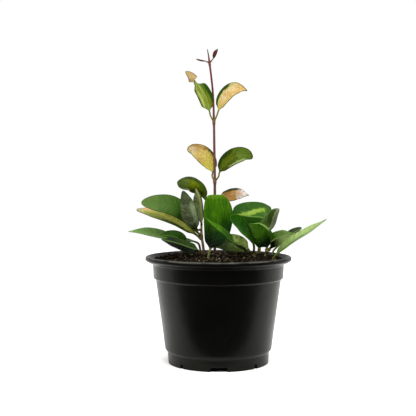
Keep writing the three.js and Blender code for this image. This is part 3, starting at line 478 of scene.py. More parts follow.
LOOKS = {
    "leaf_tip_right": dict(
        upper=[(78, 34, 26), (62, 26, 20), (88, 44, 32)],
        under=[(86, 48, 36), (72, 38, 28), (94, 56, 42)], rib=(100, 60, 42), rim=(48, 20, 16),
        stalk=(82, 42, 30)),
    "leaf_tip_left": dict(
        upper=[(96, 66, 50), (82, 52, 38), (104, 76, 60)],
        under=[(102, 82, 66), (88, 68, 54), (110, 90, 74)], rib=(112, 78, 56), rim=(62, 34, 26),
        stalk=(84, 48, 34)),
    "leaf_upper_left": dict(
        upper=[(158, 130, 84), (142, 112, 66), (176, 156, 114)], grain=LENGTHWISE,
        under=[(116, 130, 50), (100, 116, 30), (132, 144, 68)], rib=(150, 158, 92), rib_share=0.3,
        rim=(40, 54, 12), rim_width=0.7, stalk=(100, 96, 40), speckle=0.0, zones=[
            zone((96, 106, 12), along=(0.06, 0.55), across=(-0.4, 0.1), share=0.8, warp=0.3, side=LOWER),
            zone((160, 172, 96), along=(0.12, 0.72), across=(0.52, 0.7), share=0.7, soft=0.08, side=LOWER),
            base_zone((34, 58, 12), 0.72, across=(0.86, 2), share=0.9, soft=0.05, side=LOWER),
            zone((54, 84, 16), along=(0.3, 0.74), across=(-2, -0.12), share=0.8, soft=0.16, side=LOWER),
            base_zone((34, 62, 5), 0.74, across=(-2, -0.5), soft=0.16, side=LOWER),
            base_zone((104, 120, 50), 0.08, side=LOWER),
        ]),
    "leaf_upper_right": dict(
        upper=[(178, 150, 86), (168, 134, 72), (188, 176, 134)], streak_share=0.5,
        under=[(170, 156, 96), (156, 142, 80), (176, 168, 120)], rib=(196, 176, 122), rim=(52, 66, 22),
        rim_width=0.75, stalk=(104, 98, 40), speckle=0.0, zones=[
            zone((198, 188, 152), along=(0.3, 0.42), across=(-0.8, 0.1), slant=1.4, share=0.8, warp=0.25),
            zone((172, 122, 58), along=(0.42, 0.52), across=(-0.5, 0.5), slant=1.4, share=0.75, warp=0.3),
            zone((196, 182, 140), along=(0.54, 0.68), across=(-0.7, 0.2), slant=1.2, share=0.75, warp=0.3),
            zone((172, 126, 62), along=(0.66, 0.76), across=(-0.6, 0.2), share=0.6, warp=0.3),
            zone((150, 116, 66), along=(0.72, 0.92), across=(-2, -0.62), share=0.7, warp=0.2),
            base_zone((146, 142, 54), 0.1, soft=0.08),
            base_zone((150, 154, 84), 0.7, across=(-0.72, -0.5), share=0.6),
            base_zone((40, 60, 14), 0.62, across=(-2, -0.64), soft=0.07),
            tip_zone((104, 110, 84), 0.92, soft=0.05),
        ]),
    "leaf_middle_left": dict(
        upper=[(178, 156, 82), (170, 144, 74), (184, 168, 106)], streak_share=0.6,
        under=[(160, 144, 84), (146, 130, 70), (168, 156, 100)], rib=(188, 170, 112), rim=(50, 60, 20),
        rim_width=0.75, stalk=(108, 100, 40), zones=[
            base_zone((172, 164, 62), 0.36, soft=0.2),
            tip_zone((150, 118, 76), 0.66, across=(-0.3, 2), share=0.85, soft=0.15),
            zone((128, 102, 46), along=(0.36, 0.9), across=(0.62, 0.94), share=0.55, warp=0.2),
            zone((124, 80, 20), along=(0.5, 0.64), across=(0.46, 0.72), share=0.85, soft=0.05, warp=0.3),
            zone((178, 166, 136), along=(0.8, 0.93), across=(-0.8, 0.5), share=0.7),
            base_zone((50, 62, 16), 0.56, across=(0.74, 2), soft=0.07),
            tip_zone((92, 102, 66), 0.94, soft=0.04),
        ]),
    "leaf_middle_right": dict(
        upper=[(54, 68, 3), (44, 60, 3), (66, 80, 4)], streak_share=0.6,
        under=[(96, 108, 62), (84, 96, 50), (104, 116, 72)], rib=(96, 110, 40), rim=(24, 36, 8),
        rim_width=0.9, stalk=(98, 92, 36), zones=[
            base_zone((28, 48, 6), 0.5, across=(-2, -0.58), soft=0.12),
            zone((72, 84, 4), along=(0.14, 0.6), across=(-0.4, 0.3), share=0.7),
            # painted highlight: the paler, bluish tip end
            tip_zone((68, 88, 22), 0.62, share=0.9, soft=0.06),
            zone((104, 120, 58), along=(0.62, 0.7), across=(-0.5, 0.6), share=0.3, soft=0.08),
            # painted highlight along the lower margin
            zone((130, 146, 88), along=(0.32, 0.86), across=(0.7, 0.98), share=0.8, soft=0.1, warp=0.1),
            tip_zone((20, 36, 8), 0.95, soft=0.03),
        ]),
    "leaf_lower_left": dict(
        upper=[(42, 56, 5), (32, 46, 4), (54, 68, 8)], streak_share=0.6,
        under=[(84, 98, 52), (70, 84, 38), (92, 106, 60)], rib=(80, 94, 22), rim=(26, 38, 6),
        rim_width=0.8, stalk=(92, 86, 36), zones=[
            zone((78, 94, 5), along=(0.34, 0.7), across=(-0.62, 0.36), soft=0.18, warp=0.3),
            zone((100, 106, 4), along=(0.46, 0.64), across=(-0.36, 0.14), share=0.7, warp=0.3),
            base_zone((54, 72, 8), 0.42, across=(0.1, 2), share=0.9, soft=0.15),
            base_zone((66, 82, 8), 0.16, share=0.8),
            zone((118, 128, 68), along=(0.62, 0.97), across=(-2, -0.84), share=0.7, soft=0.06),
        ]),
    "leaf_lower_right": dict(
        upper=[(150, 112, 58), (136, 98, 48), (118, 82, 40)], streak_share=0.75,
        under=[(156, 128, 78), (142, 112, 64), (164, 140, 92)], rib=(172, 140, 88), rim=(70, 66, 34),
        rim_width=0.6, stalk=(104, 88, 40), zones=[
            base_zone((112, 110, 36), 0.12, share=0.8),
            base_zone((40, 44, 18), 0.66, across=(-2, -0.56), soft=0.07),
            zone((66, 56, 20), along=(0.2, 0.32), across=(-0.9, 0.1), share=0.6, warp=0.3),
            tip_zone((184, 182, 176), 0.7, share=0.92, soft=0.18, warp=0.4),
            tip_zone((128, 132, 108), 0.9, share=0.9, soft=0.05),
        ]),
    "leaf_large_left": dict(
        upper=[(52, 80, 22), (46, 74, 18), (58, 86, 28)], streak_share=0.35, rib=(72, 100, 40),
        rib_share=0.1, rim=(34, 52, 14), rim_width=0.6, zones=[
            # painted reflection: the paler bluish tip end
            tip_zone((72, 96, 42), 0.74, soft=0.25),
            base_zone((36, 64, 12), 0.36, soft=0.2),
            base_zone((42, 68, 18), 0.6, across=(-2, -0.62), share=0.8, soft=0.2),
        ]),
    "leaf_yellow_left": dict(
        upper=[(160, 164, 80), (142, 148, 58), (118, 124, 34)], streak_share=0.6,
        under=[(112, 114, 58), (98, 100, 46), (120, 124, 68)], rib=(116, 122, 54), rim=(46, 60, 14),
        rim_width=0.7, zones=[
            zone((100, 86, 14), along=(0.34, 0.5), across=(-0.1, 2), share=0.7, warp=0.4),
            zone((118, 96, 26), along=(0.56, 0.66), across=(0.0, 2), share=0.6, warp=0.4),
            base_zone((30, 52, 6), 0.42, across=(0.3, 2), soft=0.12),
            base_zone((52, 72, 12), 0.66, across=(-2, -0.6), soft=0.15),
            zone((118, 124, 64), along=(0.5, 0.95), across=(-0.85, -0.2), share=0.6),
            zone((184, 146, 102), along=(0.72, 0.94), across=(0.16, 2), warp=0.3, soft=0.07),
            tip_zone((146, 142, 104), 0.9, soft=0.04),
            base_zone((44, 62, 4), 0.12, share=0.9),
        ]),
    "leaf_upright_left": dict(
        under=[(82, 94, 64), (60, 70, 42), (94, 104, 76)], streak_share=0.3, rib=(80, 88, 58),
        rib_share=0.1, rim=(24, 32, 12), speckle=0.9, zones=[
            tip_zone((40, 50, 26), 0.8, share=0.7, soft=0.12, side=LOWER),
            zone((24, 30, 10), along=(0.44, 0.58), across=(-0.1, 0.5), share=0.75, warp=0.3, side=LOWER),
            zone((34, 42, 18), along=(0.66, 0.78), across=(-0.2, 0.6), share=0.6, warp=0.4, side=LOWER),
            zone((58, 50, 40), along=(0.3, 0.5), across=(0.3, 0.85), share=0.6, side=LOWER),
            zone((124, 136, 102), along=(0.1, 0.7), across=(-0.95, -0.36), share=0.8, side=LOWER),
            base_zone((24, 36, 5), 0.18, side=LOWER),
        ]),
    "leaf_upright_middle": dict(
        under=[(102, 122, 74), (80, 98, 52), (112, 130, 86)], streak_share=0.5, rib=(142, 140, 84),
        rib_share=0.95, rib_width=1.1, rim=(36, 46, 16), speckle=0.9,
        zones=[zone((28, 46, 8), across=(-2, -0.45), share=0.85, side=LOWER)]),
    "leaf_variegated_back": dict(
        upper=[(36, 74, 8), (28, 64, 4), (50, 84, 18)], streak_share=0.6,
        under=[(84, 102, 58), (70, 88, 44), (92, 110, 66)], rib=(92, 126, 46), rib_share=0.0,
        rim=(28, 44, 14), zones=[
            base_zone((44, 72, 18), 0.3, across=(0.4, 2), share=0.8, soft=0.15),
            tip_zone((26, 68, 4), 0.74, share=0.8, soft=0.12),
            zone((52, 92, 16), along=(0.1, 0.8), across=(-0.1, 0.4), slant=0.6, share=0.8),
            zone((120, 150, 48), along=(0.24, 0.86), across=(0.12, 0.38), slant=1.05, soft=0.07, warp=0.07),
            zone((134, 160, 70), along=(0.4, 0.7), across=(0.2, 0.32), slant=1.05, share=0.6, soft=0.05),
            # painted shade over the near half
            zone((28, 64, 4), along=(0.18, 0.9), across=(-2, -0.12), soft=0.06, warp=0.05),
            # painted highlight along the midrib
            zone((96, 130, 50), along=(0.22, 0.72), across=(-0.12, 0.0), share=0.85, soft=0.05, warp=0.04),
            base_zone((72, 98, 40), 0.24, across=(-2, 0.3), soft=0.06),
        ]),
    "leaf_upright_right": dict(
        # This leaf's pale midrib line is a painted highlight along its fold.
        upper=[(32, 54, 6), (38, 58, 10), (42, 66, 14)], rib=(112, 122, 82), rib_share=0.9, rib_width=0.9,
        rim=(60, 72, 36), zones=[
            zone((100, 104, 84), across=(0.12, 2), share=0.85, soft=0.08),
            zone((76, 96, 48), across=(-2, -0.74), along=(0.3, 2), share=0.8),
            base_zone((60, 86, 30), 0.3, across=(-2, -0.3), share=0.7),
            tip_zone((108, 114, 92), 0.95, share=0.8, soft=0.03),
        ]),
    "leaf_bowl_right": dict(
        upper=[(38, 72, 5), (28, 62, 3), (50, 84, 8)], streak_share=0.5, rib=(40, 70, 6), rib_share=0.1,
        rim=(38, 68, 8), rim_width=0.6, zones=[
            zone((44, 76, 4), along=(0.4, 0.85), across=(-0.5, 0.3), share=0.7),
            # painted shade at the base
            base_zone((4, 12, 2), 0.34, soft=0.2, warp=0.25),
            # painted shade along the lower margin
            zone((8, 30, 2), across=(-2, -0.66), share=0.85, soft=0.12),
            base_zone((40, 72, 12), 0.42, across=(0.6, 2), share=0.8),
            # painted highlight along the top edge
            tip_zone((112, 144, 70), 0.44, across=(0.8, 2), soft=0.04, warp=0.04),
        ]),
    "leaf_cupped_right": dict(
        upper=[(47, 86, 6), (40, 78, 5), (58, 96, 16)],
        under=[(118, 138, 76), (104, 124, 62), (126, 146, 88)], rib=(96, 116, 60), rim=(96, 118, 64),
        rim_width=0.5, zones=[
            tip_zone((80, 102, 48), 0.42, share=0.9, soft=0.15, side=UPPER),
            # painted shade on the underside towards the stalk, darkest next to it
            base_zone((76, 96, 34), 0.5, share=0.8, soft=0.2, side=LOWER),
            base_zone((10, 20, 3), 0.3, soft=0.18, warp=0.25, side=LOWER),
        ]),
    "leaf_pale_left": dict(
        upper=[(92, 128, 56), (84, 120, 48), (98, 134, 62)], rib=(98, 130, 62), rib_share=0.3,
        rim=(54, 84, 26), rim_width=0.4, zones=[
            tip_zone((90, 124, 60), 0.74, soft=0.12),
            tip_zone((150, 166, 132), 0.95, soft=0.04),
            base_zone((72, 104, 30), 0.56, soft=0.15),
            zone((102, 136, 64), along=(0.3, 0.95), across=(-0.95, -0.5), share=0.6),
            base_zone((44, 64, 8), 0.3, share=0.9),
        ]),
    "leaf_round_left": dict(
        upper=[(28, 58, 3), (24, 52, 2), (36, 66, 6)], rib=(74, 104, 34), rib_share=0.5, rim=(30, 52, 8),
        zones=[
            # painted shade towards the base
            base_zone((8, 42, 2), 0.75, across=(-2, -0.15), share=0.85, soft=0.2),
            tip_zone((86, 118, 42), 0.66, across=(-2, -0.6), share=0.7),
        ]),
    "leaf_dark_left": dict(
        upper=[(34, 52, 9), (24, 42, 6), (42, 62, 15)], under=[(28, 40, 12), (16, 26, 5), (36, 48, 18)],
        rib=(74, 98, 48), rib_share=0.75, rib_width=0.9, rim=(30, 44, 10), zones=[
            # painted shade over the tip half and the near half
            tip_zone((8, 22, 3), 0.55, share=0.95, soft=0.15),
            zone((2, 6, 2), across=(-2, -0.06), soft=0.06, warp=0.1),
        ]),
    "leaf_big_centre": dict(
        upper=[(46, 84, 3), (36, 74, 2), (66, 104, 8)], streak_share=0.7, grain=LENGTHWISE,
        rib=(62, 102, 10), rib_share=0.0, rim=(30, 60, 4), rim_width=0.4, stalk=(112, 118, 70), zones=[
            zone((30, 66, 2), along=(0.3, 0.85), across=(-0.8, -0.3), share=0.6, warp=0.3),
            # painted highlight at the top
            tip_zone((76, 112, 18), 0.93, share=0.8, soft=0.05, warp=0.1),
            # painted shade over the lower part, darkest at the base
            base_zone((6, 26, 2), 0.46, share=0.95, soft=0.14),
            base_zone((10, 42, 2), 0.62, across=(0.4, 2), slant=-0.3, share=0.9, soft=0.14),
            base_zone((2, 10, 2), 0.2, soft=0.12),
        ]),
    "leaf_narrow_crossing": dict(
        upper=[(66, 110, 16), (56, 100, 10), (76, 118, 24)], rib_share=0.0, rim=(30, 60, 8),
        rim_width=0.3, zones=[
            base_zone((34, 66, 16), 0.72, share=0.9, soft=0.15),
            base_zone((78, 78, 60), 0.32, share=0.9, soft=0.15),
            # painted shade along the lower edge
            zone((10, 28, 3), across=(-2, -0.62), share=0.85, soft=0.12),
        ]),
    "leaf_broad_low": dict(
        upper=[(110, 128, 62), (66, 84, 30), (124, 142, 74)], streak_share=0.6, rib=(104, 118, 62),
        rib_share=0.1, rim=(36, 52, 14), speckle=0.8, zones=[
            # painted shade, deepening towards the tip
            tip_zone((36, 52, 12), 0.42, share=0.85, soft=0.15, warp=0.5),
            tip_zone((14, 24, 5), 0.7, share=0.7, soft=0.15, warp=0.4),
            zone((40, 56, 14), across=(-2, -0.5), share=0.6, warp=0.4),
        ]),
    "leaf_dark_green": dict(
        upper=[(26, 66, 3), (16, 54, 2), (38, 78, 6)], rib=(30, 76, 10), rib_share=0.1, rim=(56, 100, 24),
        rim_width=0.4, zones=[
            base_zone((28, 54, 4), 0.4, share=0.8),
            zone((44, 88, 14), along=(0.2, 0.8), across=(-0.86, -0.6), share=0.5, soft=0.07),
            base_zone((3, 20, 2), 0.55, across=(0.6, 2), share=0.9),
        ]),
    "leaf_small_back": dict(
        upper=[(38, 52, 18), (26, 40, 12), (50, 66, 28)], rib=(60, 78, 34),
        # painted highlight on the lit top
        zones=[zone((80, 94, 50), across=(0.2, 0.7), along=(0.4, 2), share=0.7)]),
    "leaf_long_right": dict(
        upper=[(136, 156, 96), (126, 148, 84), (142, 160, 104)],
        under=[(62, 80, 32), (48, 64, 22), (70, 88, 40)], rib=(104, 126, 68), rib_share=0.5,
        rim=(96, 118, 62), rim_width=0.4, zones=[
            zone((106, 128, 78), across=(0.05, 2), along=(0.2, 2), share=0.7, soft=0.08),
            base_zone((88, 110, 50), 0.42, share=0.85, soft=0.15),
            base_zone((62, 82, 34), 0.62, across=(0.5, 2), share=0.85, soft=0.1),
            base_zone((56, 72, 28), 0.16, share=0.9),
        ]),
}

STEM_LOOKS = {
    "red": dict(slot="stem_red", low=(92, 58, 44), high=(92, 18, 24), node=(108, 66, 48)),
    "brown": dict(slot="stem_brown", low=(108, 86, 54), high=(126, 112, 66), node=(104, 74, 46)),
    "olive": dict(slot="stem_olive", low=(84, 82, 38), high=(88, 92, 38), node=(104, 78, 46)),
}


# Small maths helpers
def smooth(low, high, x):
    share = np.clip((x - low) / (high - low), 0, 1)
    return share * share * (3 - 2 * share)


def unit(vectors):
    return vectors / np.linalg.norm(vectors, axis=-1, keepdims=True)


def scaled(vectors, amounts):
    """A vector for each ring times an amount for each of its points."""
    return vectors[:, None, :] * amounts[..., None]


def along(values, share):
    """Blends along a list of numbers, share from 0 to 1."""
    if len(values) == 1:
        return np.full(np.shape(share), float(values[0]))
    return np.interp(share, np.linspace(0, 1, len(values)), values)


def direction_along(directions, share):
    """Blends along a list of directions, with an easy start and stop at each."""
    last = len(directions) - 1
    place = np.clip(share, 0, 1) * last
    index = np.minimum(np.floor(place).astype(int), max(last, 1) - 1)
    following = np.minimum(index + 1, last)
    table = np.array(directions, float)
    blend = smooth(0, 1, place - index)[:, None]
    return table[index] * (1 - blend) + table[following] * blend


class Route:
    """A smooth centripetal curve through points, read by the share of its length."""

    def __init__(self, points):
        self.points = np.array(points, float)
        self.places = np.linspace(0, 1, ROUTE_DIVISIONS + 1)
        steps = np.linalg.norm(np.diff(self.at_place(self.places), axis=0), axis=1)
        self.lengths = np.concatenate([[0], np.cumsum(steps)])
        self.length = self.lengths[-1]

    def at_place(self, places):
        known = self.points
        before = 2 * known[0] - known[1]
        after = 2 * known[-1] - known[-2]
        table = np.vstack([before, known, after])
        spans = len(known) - 1
        place = np.clip(places, 0, 1) * spans
        index = np.minimum(np.floor(place).astype(int), spans - 1)
        share = (place - index)[:, None]
        first, second, third, fourth = (table[index + k] for k in range(4))
        gap = [np.sum((b - a) ** 2, axis=1)[:, None] ** 0.25 for a, b in (
            (first, second), (second, third), (third, fourth))]
        leave = ((second - first) / gap[0] - (third - first) / (gap[0] + gap[1])
                 + (third - second) / gap[1]) * gap[1]
        arrive = ((third - second) / gap[1] - (fourth - second) / (gap[1] + gap[2])
                  + (fourth - third) / gap[2]) * gap[1]
        return (second + leave * share
                + (3 * (third - second) - 2 * leave - arrive) * share ** 2
                + (2 * (second - third) + leave + arrive) * share ** 3)

    def place_of(self, share):
        return np.interp(np.asarray(share) * self.length, self.lengths, self.places)

    def point(self, share):
        return self.at_place(self.place_of(share))

    def tangent(self, share):
        place = self.place_of(share)
        ahead = self.at_place(np.minimum(place + TANGENT_STEP, 1))
        return unit(ahead - self.at_place(np.maximum(place - TANGENT_STEP, 0)))

    def share_at(self, index):
        nearest = round(index / (len(self.points) - 1) * ROUTE_DIVISIONS)
        return self.lengths[nearest] / self.length


# Meshes
def make_object(name, points, faces, smooth_faces=True):
    """A mesh object from points in millimetres."""
    mesh = bpy.data.meshes.new(name)
    mesh.from_pydata((np.asarray(points, float) * MM).tolist(), [], faces)
    mesh.validate()
    mesh.update()
    piece = bpy.data.objects.new(name, mesh)
    bpy.context.scene.collection.objects.link(piece)
    if smooth_faces:
        mesh.shade_smooth()
    return piece


def ring_faces(rings, count):
    """Quads between rings of points, and one face over each end."""
    faces = []
    for i in range(rings - 1):
        for k in range(count):
            a, b = i * count + k, i * count + (k + 1) % count
            faces.append((a, a + count, b + count, b))
    faces.append(tuple(range(count)))
    faces.append(tuple(reversed(range((rings - 1) * count, rings * count))))
    return faces


def face_outwards(piece):
    shape = bmesh.new()
    shape.from_mesh(piece.data)
    bmesh.ops.recalc_face_normals(shape, faces=shape.faces)
    if shape.calc_volume(signed=True) < 0:
        bmesh.ops.reverse_faces(shape, faces=shape.faces)
    shape.to_mesh(piece.data)
    shape.free()


def make_solid(name, points, faces):
    piece = make_object(name, points, faces)
    face_outwards(piece)
    return piece


def joined(name, shapes):
    """One mesh object from several shapes, each given as points and faces."""
    points, faces = [], []
    for shape_points, shape_faces in shapes:
        start = len(points)
        points.extend(tuple(point) for point in shape_points)
        faces.extend(tuple(start + index for index in face) for face in shape_faces)
    return make_solid(name, points, faces)


def add_attribute(piece, name, values):
    attribute = piece.data.attributes.new(name, "FLOAT", "POINT")
    attribute.data.foreach_set("value", np.asarray(values, np.float32).ravel())


def dress(piece, material):
    piece.data.materials.clear()
    piece.data.materials.append(material)


def finish_piece(piece, material, slot, *nodes):
    dress(piece, material)
    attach(piece, "root")
    if nodes:
        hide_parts(*nodes)


def cut(piece, other, operation):
    """Adds the other solid, takes it away or keeps what both share, and deletes it."""
    modifier = piece.modifiers.new("cut", "BOOLEAN")
    modifier.operation = operation
    modifier.object = other
    modifier.solver = "EXACT"
    graph = bpy.context.evaluated_depsgraph_get()
    result = bpy.data.meshes.new_from_object(piece.evaluated_get(graph))
    piece.modifiers.clear()
    piece.data = result
    bpy.data.objects.remove(other)


# Node helpers
def linear(colour):
    """An sRGB colour, 0 to 255, as the linear values that a shader takes."""
    shares = [value / 255 for value in colour]
    return [s / 12.92 if s <= 0.04045 else ((s + 0.055) / 1.055) ** 2.4 for s in shares] + [1.0]


def feed(tree, socket, value):
    """Joins a socket to another one, or sets its colour or number."""
    if isinstance(value, bpy.types.NodeSocket):
        tree.links.new(value, socket)
    elif isinstance(value, tuple):
        socket.default_value = linear(value)
    else:
        socket.default_value = value


def calc(tree, operation, *values):
    made = tree.nodes.new("ShaderNodeMath")
    made.operation = operation
    for socket, value in zip(made.inputs, values):
        feed(tree, socket, value)
    return made.outputs[0]


def chained(tree, operation, values):
    result = values[0]
    for value in values[1:]:
        result = calc(tree, operation, result, value)
    return result


def add(tree, *values):
    return chained(tree, "ADD", values)


def times(tree, *values):
    return chained(tree, "MULTIPLY", values)


def opposite(tree, share):
    return calc(tree, "SUBTRACT", 1.0, share)


def centred(tree, value, reach):
    """A noise value as a push of up to about half the reach either way."""
    return times(tree, calc(tree, "SUBTRACT", value, 0.5), reach)


def relief(tree, parts, heights):
    """The sum of some patterns, each times its own height."""
    return add(tree, *[times(tree, parts[name], height) for name, height in heights.items()])


def ease(tree, value, low, high):
    """0 at low and 1 at high, smooth between them."""
    made = tree.nodes.new("ShaderNodeMapRange")
    made.interpolation_type = "SMOOTHSTEP"
    feed(tree, made.inputs["Value"], value)
    feed(tree, made.inputs["From Min"], low)
    feed(tree, made.inputs["From Max"], high)
    return made.outputs["Result"]


def mix(tree, share, first, second):
    made = tree.nodes.new("ShaderNodeMix")
    made.data_type = "RGBA"
    feed(tree, made.inputs[MIX_SHARE], share)
    feed(tree, made.inputs[MIX_FIRST], first)
    feed(tree, made.inputs[MIX_SECOND], second)
    return made.outputs[MIX_RESULT]


def place_node(tree):
    return tree.nodes.new("ShaderNodeTexCoord").outputs["Object"]


def split(tree, vector):
    parts = tree.nodes.new("ShaderNodeSeparateXYZ")
    tree.links.new(vector, parts.inputs[0])
    return parts.outputs


def noise_at(tree, vector, scale, detail, roughness):
    made = tree.nodes.new("ShaderNodeTexNoise")
    made.inputs["Scale"].default_value = scale
    made.inputs["Detail"].default_value = detail
    made.inputs["Roughness"].default_value = roughness
    tree.links.new(vector, made.inputs["Vector"])
    return made.outputs["Fac"]


def noise_node(tree, place, scale, detail, roughness, offset):
    """Noise in object space; scale is waves a metre."""
    moved = tree.nodes.new("ShaderNodeMapping")
    moved.inputs["Location"].default_value = [offset * share for share in NOISE_SHIFT]
    tree.links.new(place, moved.inputs["Vector"])
    return noise_at(tree, moved.outputs[0], scale, detail, roughness)


def attribute_node(tree, name):
    made = tree.nodes.new("ShaderNodeAttribute")
    made.attribute_name = name
    return made.outputs["Fac"]


def bump(tree, shader, height, strength, distance):
    made = tree.nodes.new("ShaderNodeBump")
    made.inputs["Strength"].default_value = strength
    made.inputs["Distance"].default_value = distance * MM
    tree.links.new(height, made.inputs["Height"])
    tree.links.new(made.outputs[0], shader.inputs["Normal"])


def new_material(name):
    material = bpy.data.materials.new(name)
    material.use_nodes = True
    tree = material.node_tree
    shader = next(item for item in tree.nodes if item.type == "BSDF_PRINCIPLED")
    return material, tree, shader


# Leaf material
def streak_noise(tree, over, lengthwise, sizes, offset):
    """Noise drawn out along the second of two places on the blade."""
    joined_place = tree.nodes.new("ShaderNodeCombineXYZ")
    feed(tree, joined_place.inputs[0], times(tree, over, sizes[0]))
    feed(tree, joined_place.inputs[1], times(tree, lengthwise, sizes[1]))
    feed(tree, joined_place.inputs[2], offset + sizes[2])
    return noise_at(tree, joined_place.outputs[0], 1, STREAK_DETAIL, STREAK_ROUGHNESS)


def blade_parts(tree, look, offset):
    """What a leaf's material reads: places on the blade, and the patterns that all its colours share."""
    place = place_node(tree)
    run = attribute_node(tree, "blade_run")
    from_rib = attribute_node(tree, "rib_distance")
    vein_start = calc(tree, "SUBTRACT", run, times(tree, from_rib, VEIN_SLANT))
    if look["grain"] == LENGTHWISE:
        streaks = streak_noise(tree, from_rib, run, LONG_STREAK, offset)
    else:
        streaks = streak_noise(tree, vein_start, from_rib, VEIN_STREAK, offset)
    return SimpleNamespace(
        along=attribute_node(tree, "blade_along"),
        across=attribute_node(tree, "blade_across"),
        upper=ease(tree, attribute_node(tree, "blade_side"), *SIDE_LIMITS),
        from_rib=from_rib,
        vein_start=vein_start,
        streaks=streaks,
        clouds=noise_node(tree, place, *CLOUD_NOISE, offset),
        grains=noise_node(tree, place, *GRAIN_NOISE, offset + GRAIN_OFFSET),
    )


def blade_base(tree, look, parts):
    """The upper and the lower side's own colours, mottled and streaked."""
    cloud_share = ease(tree, parts.clouds, *CLOUD_LIMITS)
    streak_share = times(tree, ease(tree, parts.streaks, *STREAK_LIMITS), look["streak_share"])
    sides = []
    for main, mottle, streak in (look["under"], look["upper"]):
        mottled = mix(tree, cloud_share, main, mottle)
        sides.append(mix(tree, streak_share, mottled, streak))
    return mix(tree, parts.upper, *sides)


def zone_share(tree, item, parts):
    """How much a zone shows: soft at its ends, with a boundary that follows the leaf's patterns."""
    warp = item["warp"] * ZONE_WARP
    push = add(tree, centred(tree, parts.streaks, warp), centred(tree, parts.clouds, warp))
    place_along = add(tree, parts.along, push)
    turn = times(tree, calc(tree, "SUBTRACT", place_along, 0.5), item["slant"])
    place_across = add(tree, parts.across, push, turn)
    share = item["share"]
    for place, (low, high) in ((place_along, item["along"]), (place_across, item["across"])):
        entry = ease(tree, place, low - item["soft"], low + item["soft"])
        end = ease(tree, place, high + item["soft"], high - item["soft"])
        share = times(tree, entry, end, share)
    if item["side"] == UPPER:
        share = times(tree, share, parts.upper)
    if item["side"] == LOWER:
        share = times(tree, share, opposite(tree, parts.upper))
    return share


def shaded(tree, colour, look, parts):
    """The colour made lighter and darker along the streaks and from grain to grain."""
    shade = add(
        tree, centred(tree, parts.streaks, STREAK_SHADE), centred(tree, parts.grains, look["speckle"]), 1.0)
    tone = tree.nodes.new("ShaderNodeVectorMath")
    tone.operation = "SCALE"
    tree.links.new(colour, tone.inputs[0])
    tree.links.new(shade, tone.inputs["Scale"])
    return tone.outputs[0]


def side_veins(tree, parts):
    wave = calc(tree, "COSINE", times(tree, parts.vein_start, 2 * math.pi / VEIN_SPACING))
    inside = ease(tree, calc(tree, "ABSOLUTE", parts.across), *VEIN_END_LIMITS)
    return times(tree, ease(tree, wave, *VEIN_LIMITS), inside)


def soft_line(tree, distance, width, limits):
    """1 on a line and 0 away from it; limits are shares of its width."""
    return ease(tree, distance, width * limits[0], width * limits[1])


def leaf_material(name, look, offset):
    material, tree, shader = new_material(name)
    parts = blade_parts(tree, look, offset)
    colour = blade_base(tree, look, parts)
    for item in look["zones"]:
        colour = mix(tree, zone_share(tree, item, parts), colour, item["colour"])
    colour = shaded(tree, colour, look, parts)

    veins = side_veins(tree, parts)
    rib = soft_line(tree, parts.from_rib, look["rib_width"], RIB_LIMITS)
    from_rim = add(tree, attribute_node(tree, "blade_rim"), centred(tree, parts.clouds, RIM_WANDER))
    rim = soft_line(tree, from_rim, look["rim_width"], RIM_LIMITS)
    colour = mix(tree, times(tree, veins, VEIN_SHARE), colour, look["rib"])
    colour = mix(tree, times(tree, rib, look["rib_share"]), colour, look["rib"])
    colour = mix(tree, times(tree, rim, RIM_SHARE), colour, look["rim"])
    colour = mix(tree, ease(tree, parts.along, *STALK_LIMITS), colour, look["stalk"])
    tree.links.new(colour, shader.inputs["Base Color"])

    rough = add(
        tree, times(tree, parts.upper, LEAF_ROUGH - LEAF_ROUGH_BELOW), LEAF_ROUGH_BELOW,
        centred(tree, parts.clouds, LEAF_ROUGH_SWING))
    tree.links.new(rough, shader.inputs["Roughness"])
    shader.inputs["Specular IOR Level"].default_value = LEAF_SPECULAR
    bump(tree, shader, relief(tree, {**vars(parts), "veins": veins}, LEAF_RELIEF), *LEAF_BUMP)
    return material


# Leaf shape
def outline_at(leaf, place):
    """The blade's width as a share of its widest, at a place from 0 at its base to 1 at its tip."""
    stretch = math.log(0.5) / math.log(leaf["wide"])
    body = np.sin(math.pi * np.minimum(place, 1) ** stretch)
    return np.maximum(body, 0) ** leaf["full"] * (1 - leaf["point"] * smooth(POINT_START, 1, place))


def blade_stations():
    """Places along the blade, closer together at its base and tip."""
    even = np.linspace(0, 1, BLADE_STATIONS)
    return STATION_EVENNESS * even + (1 - STATION_EVENNESS) * (1 - np.cos(math.pi * even)) / 2


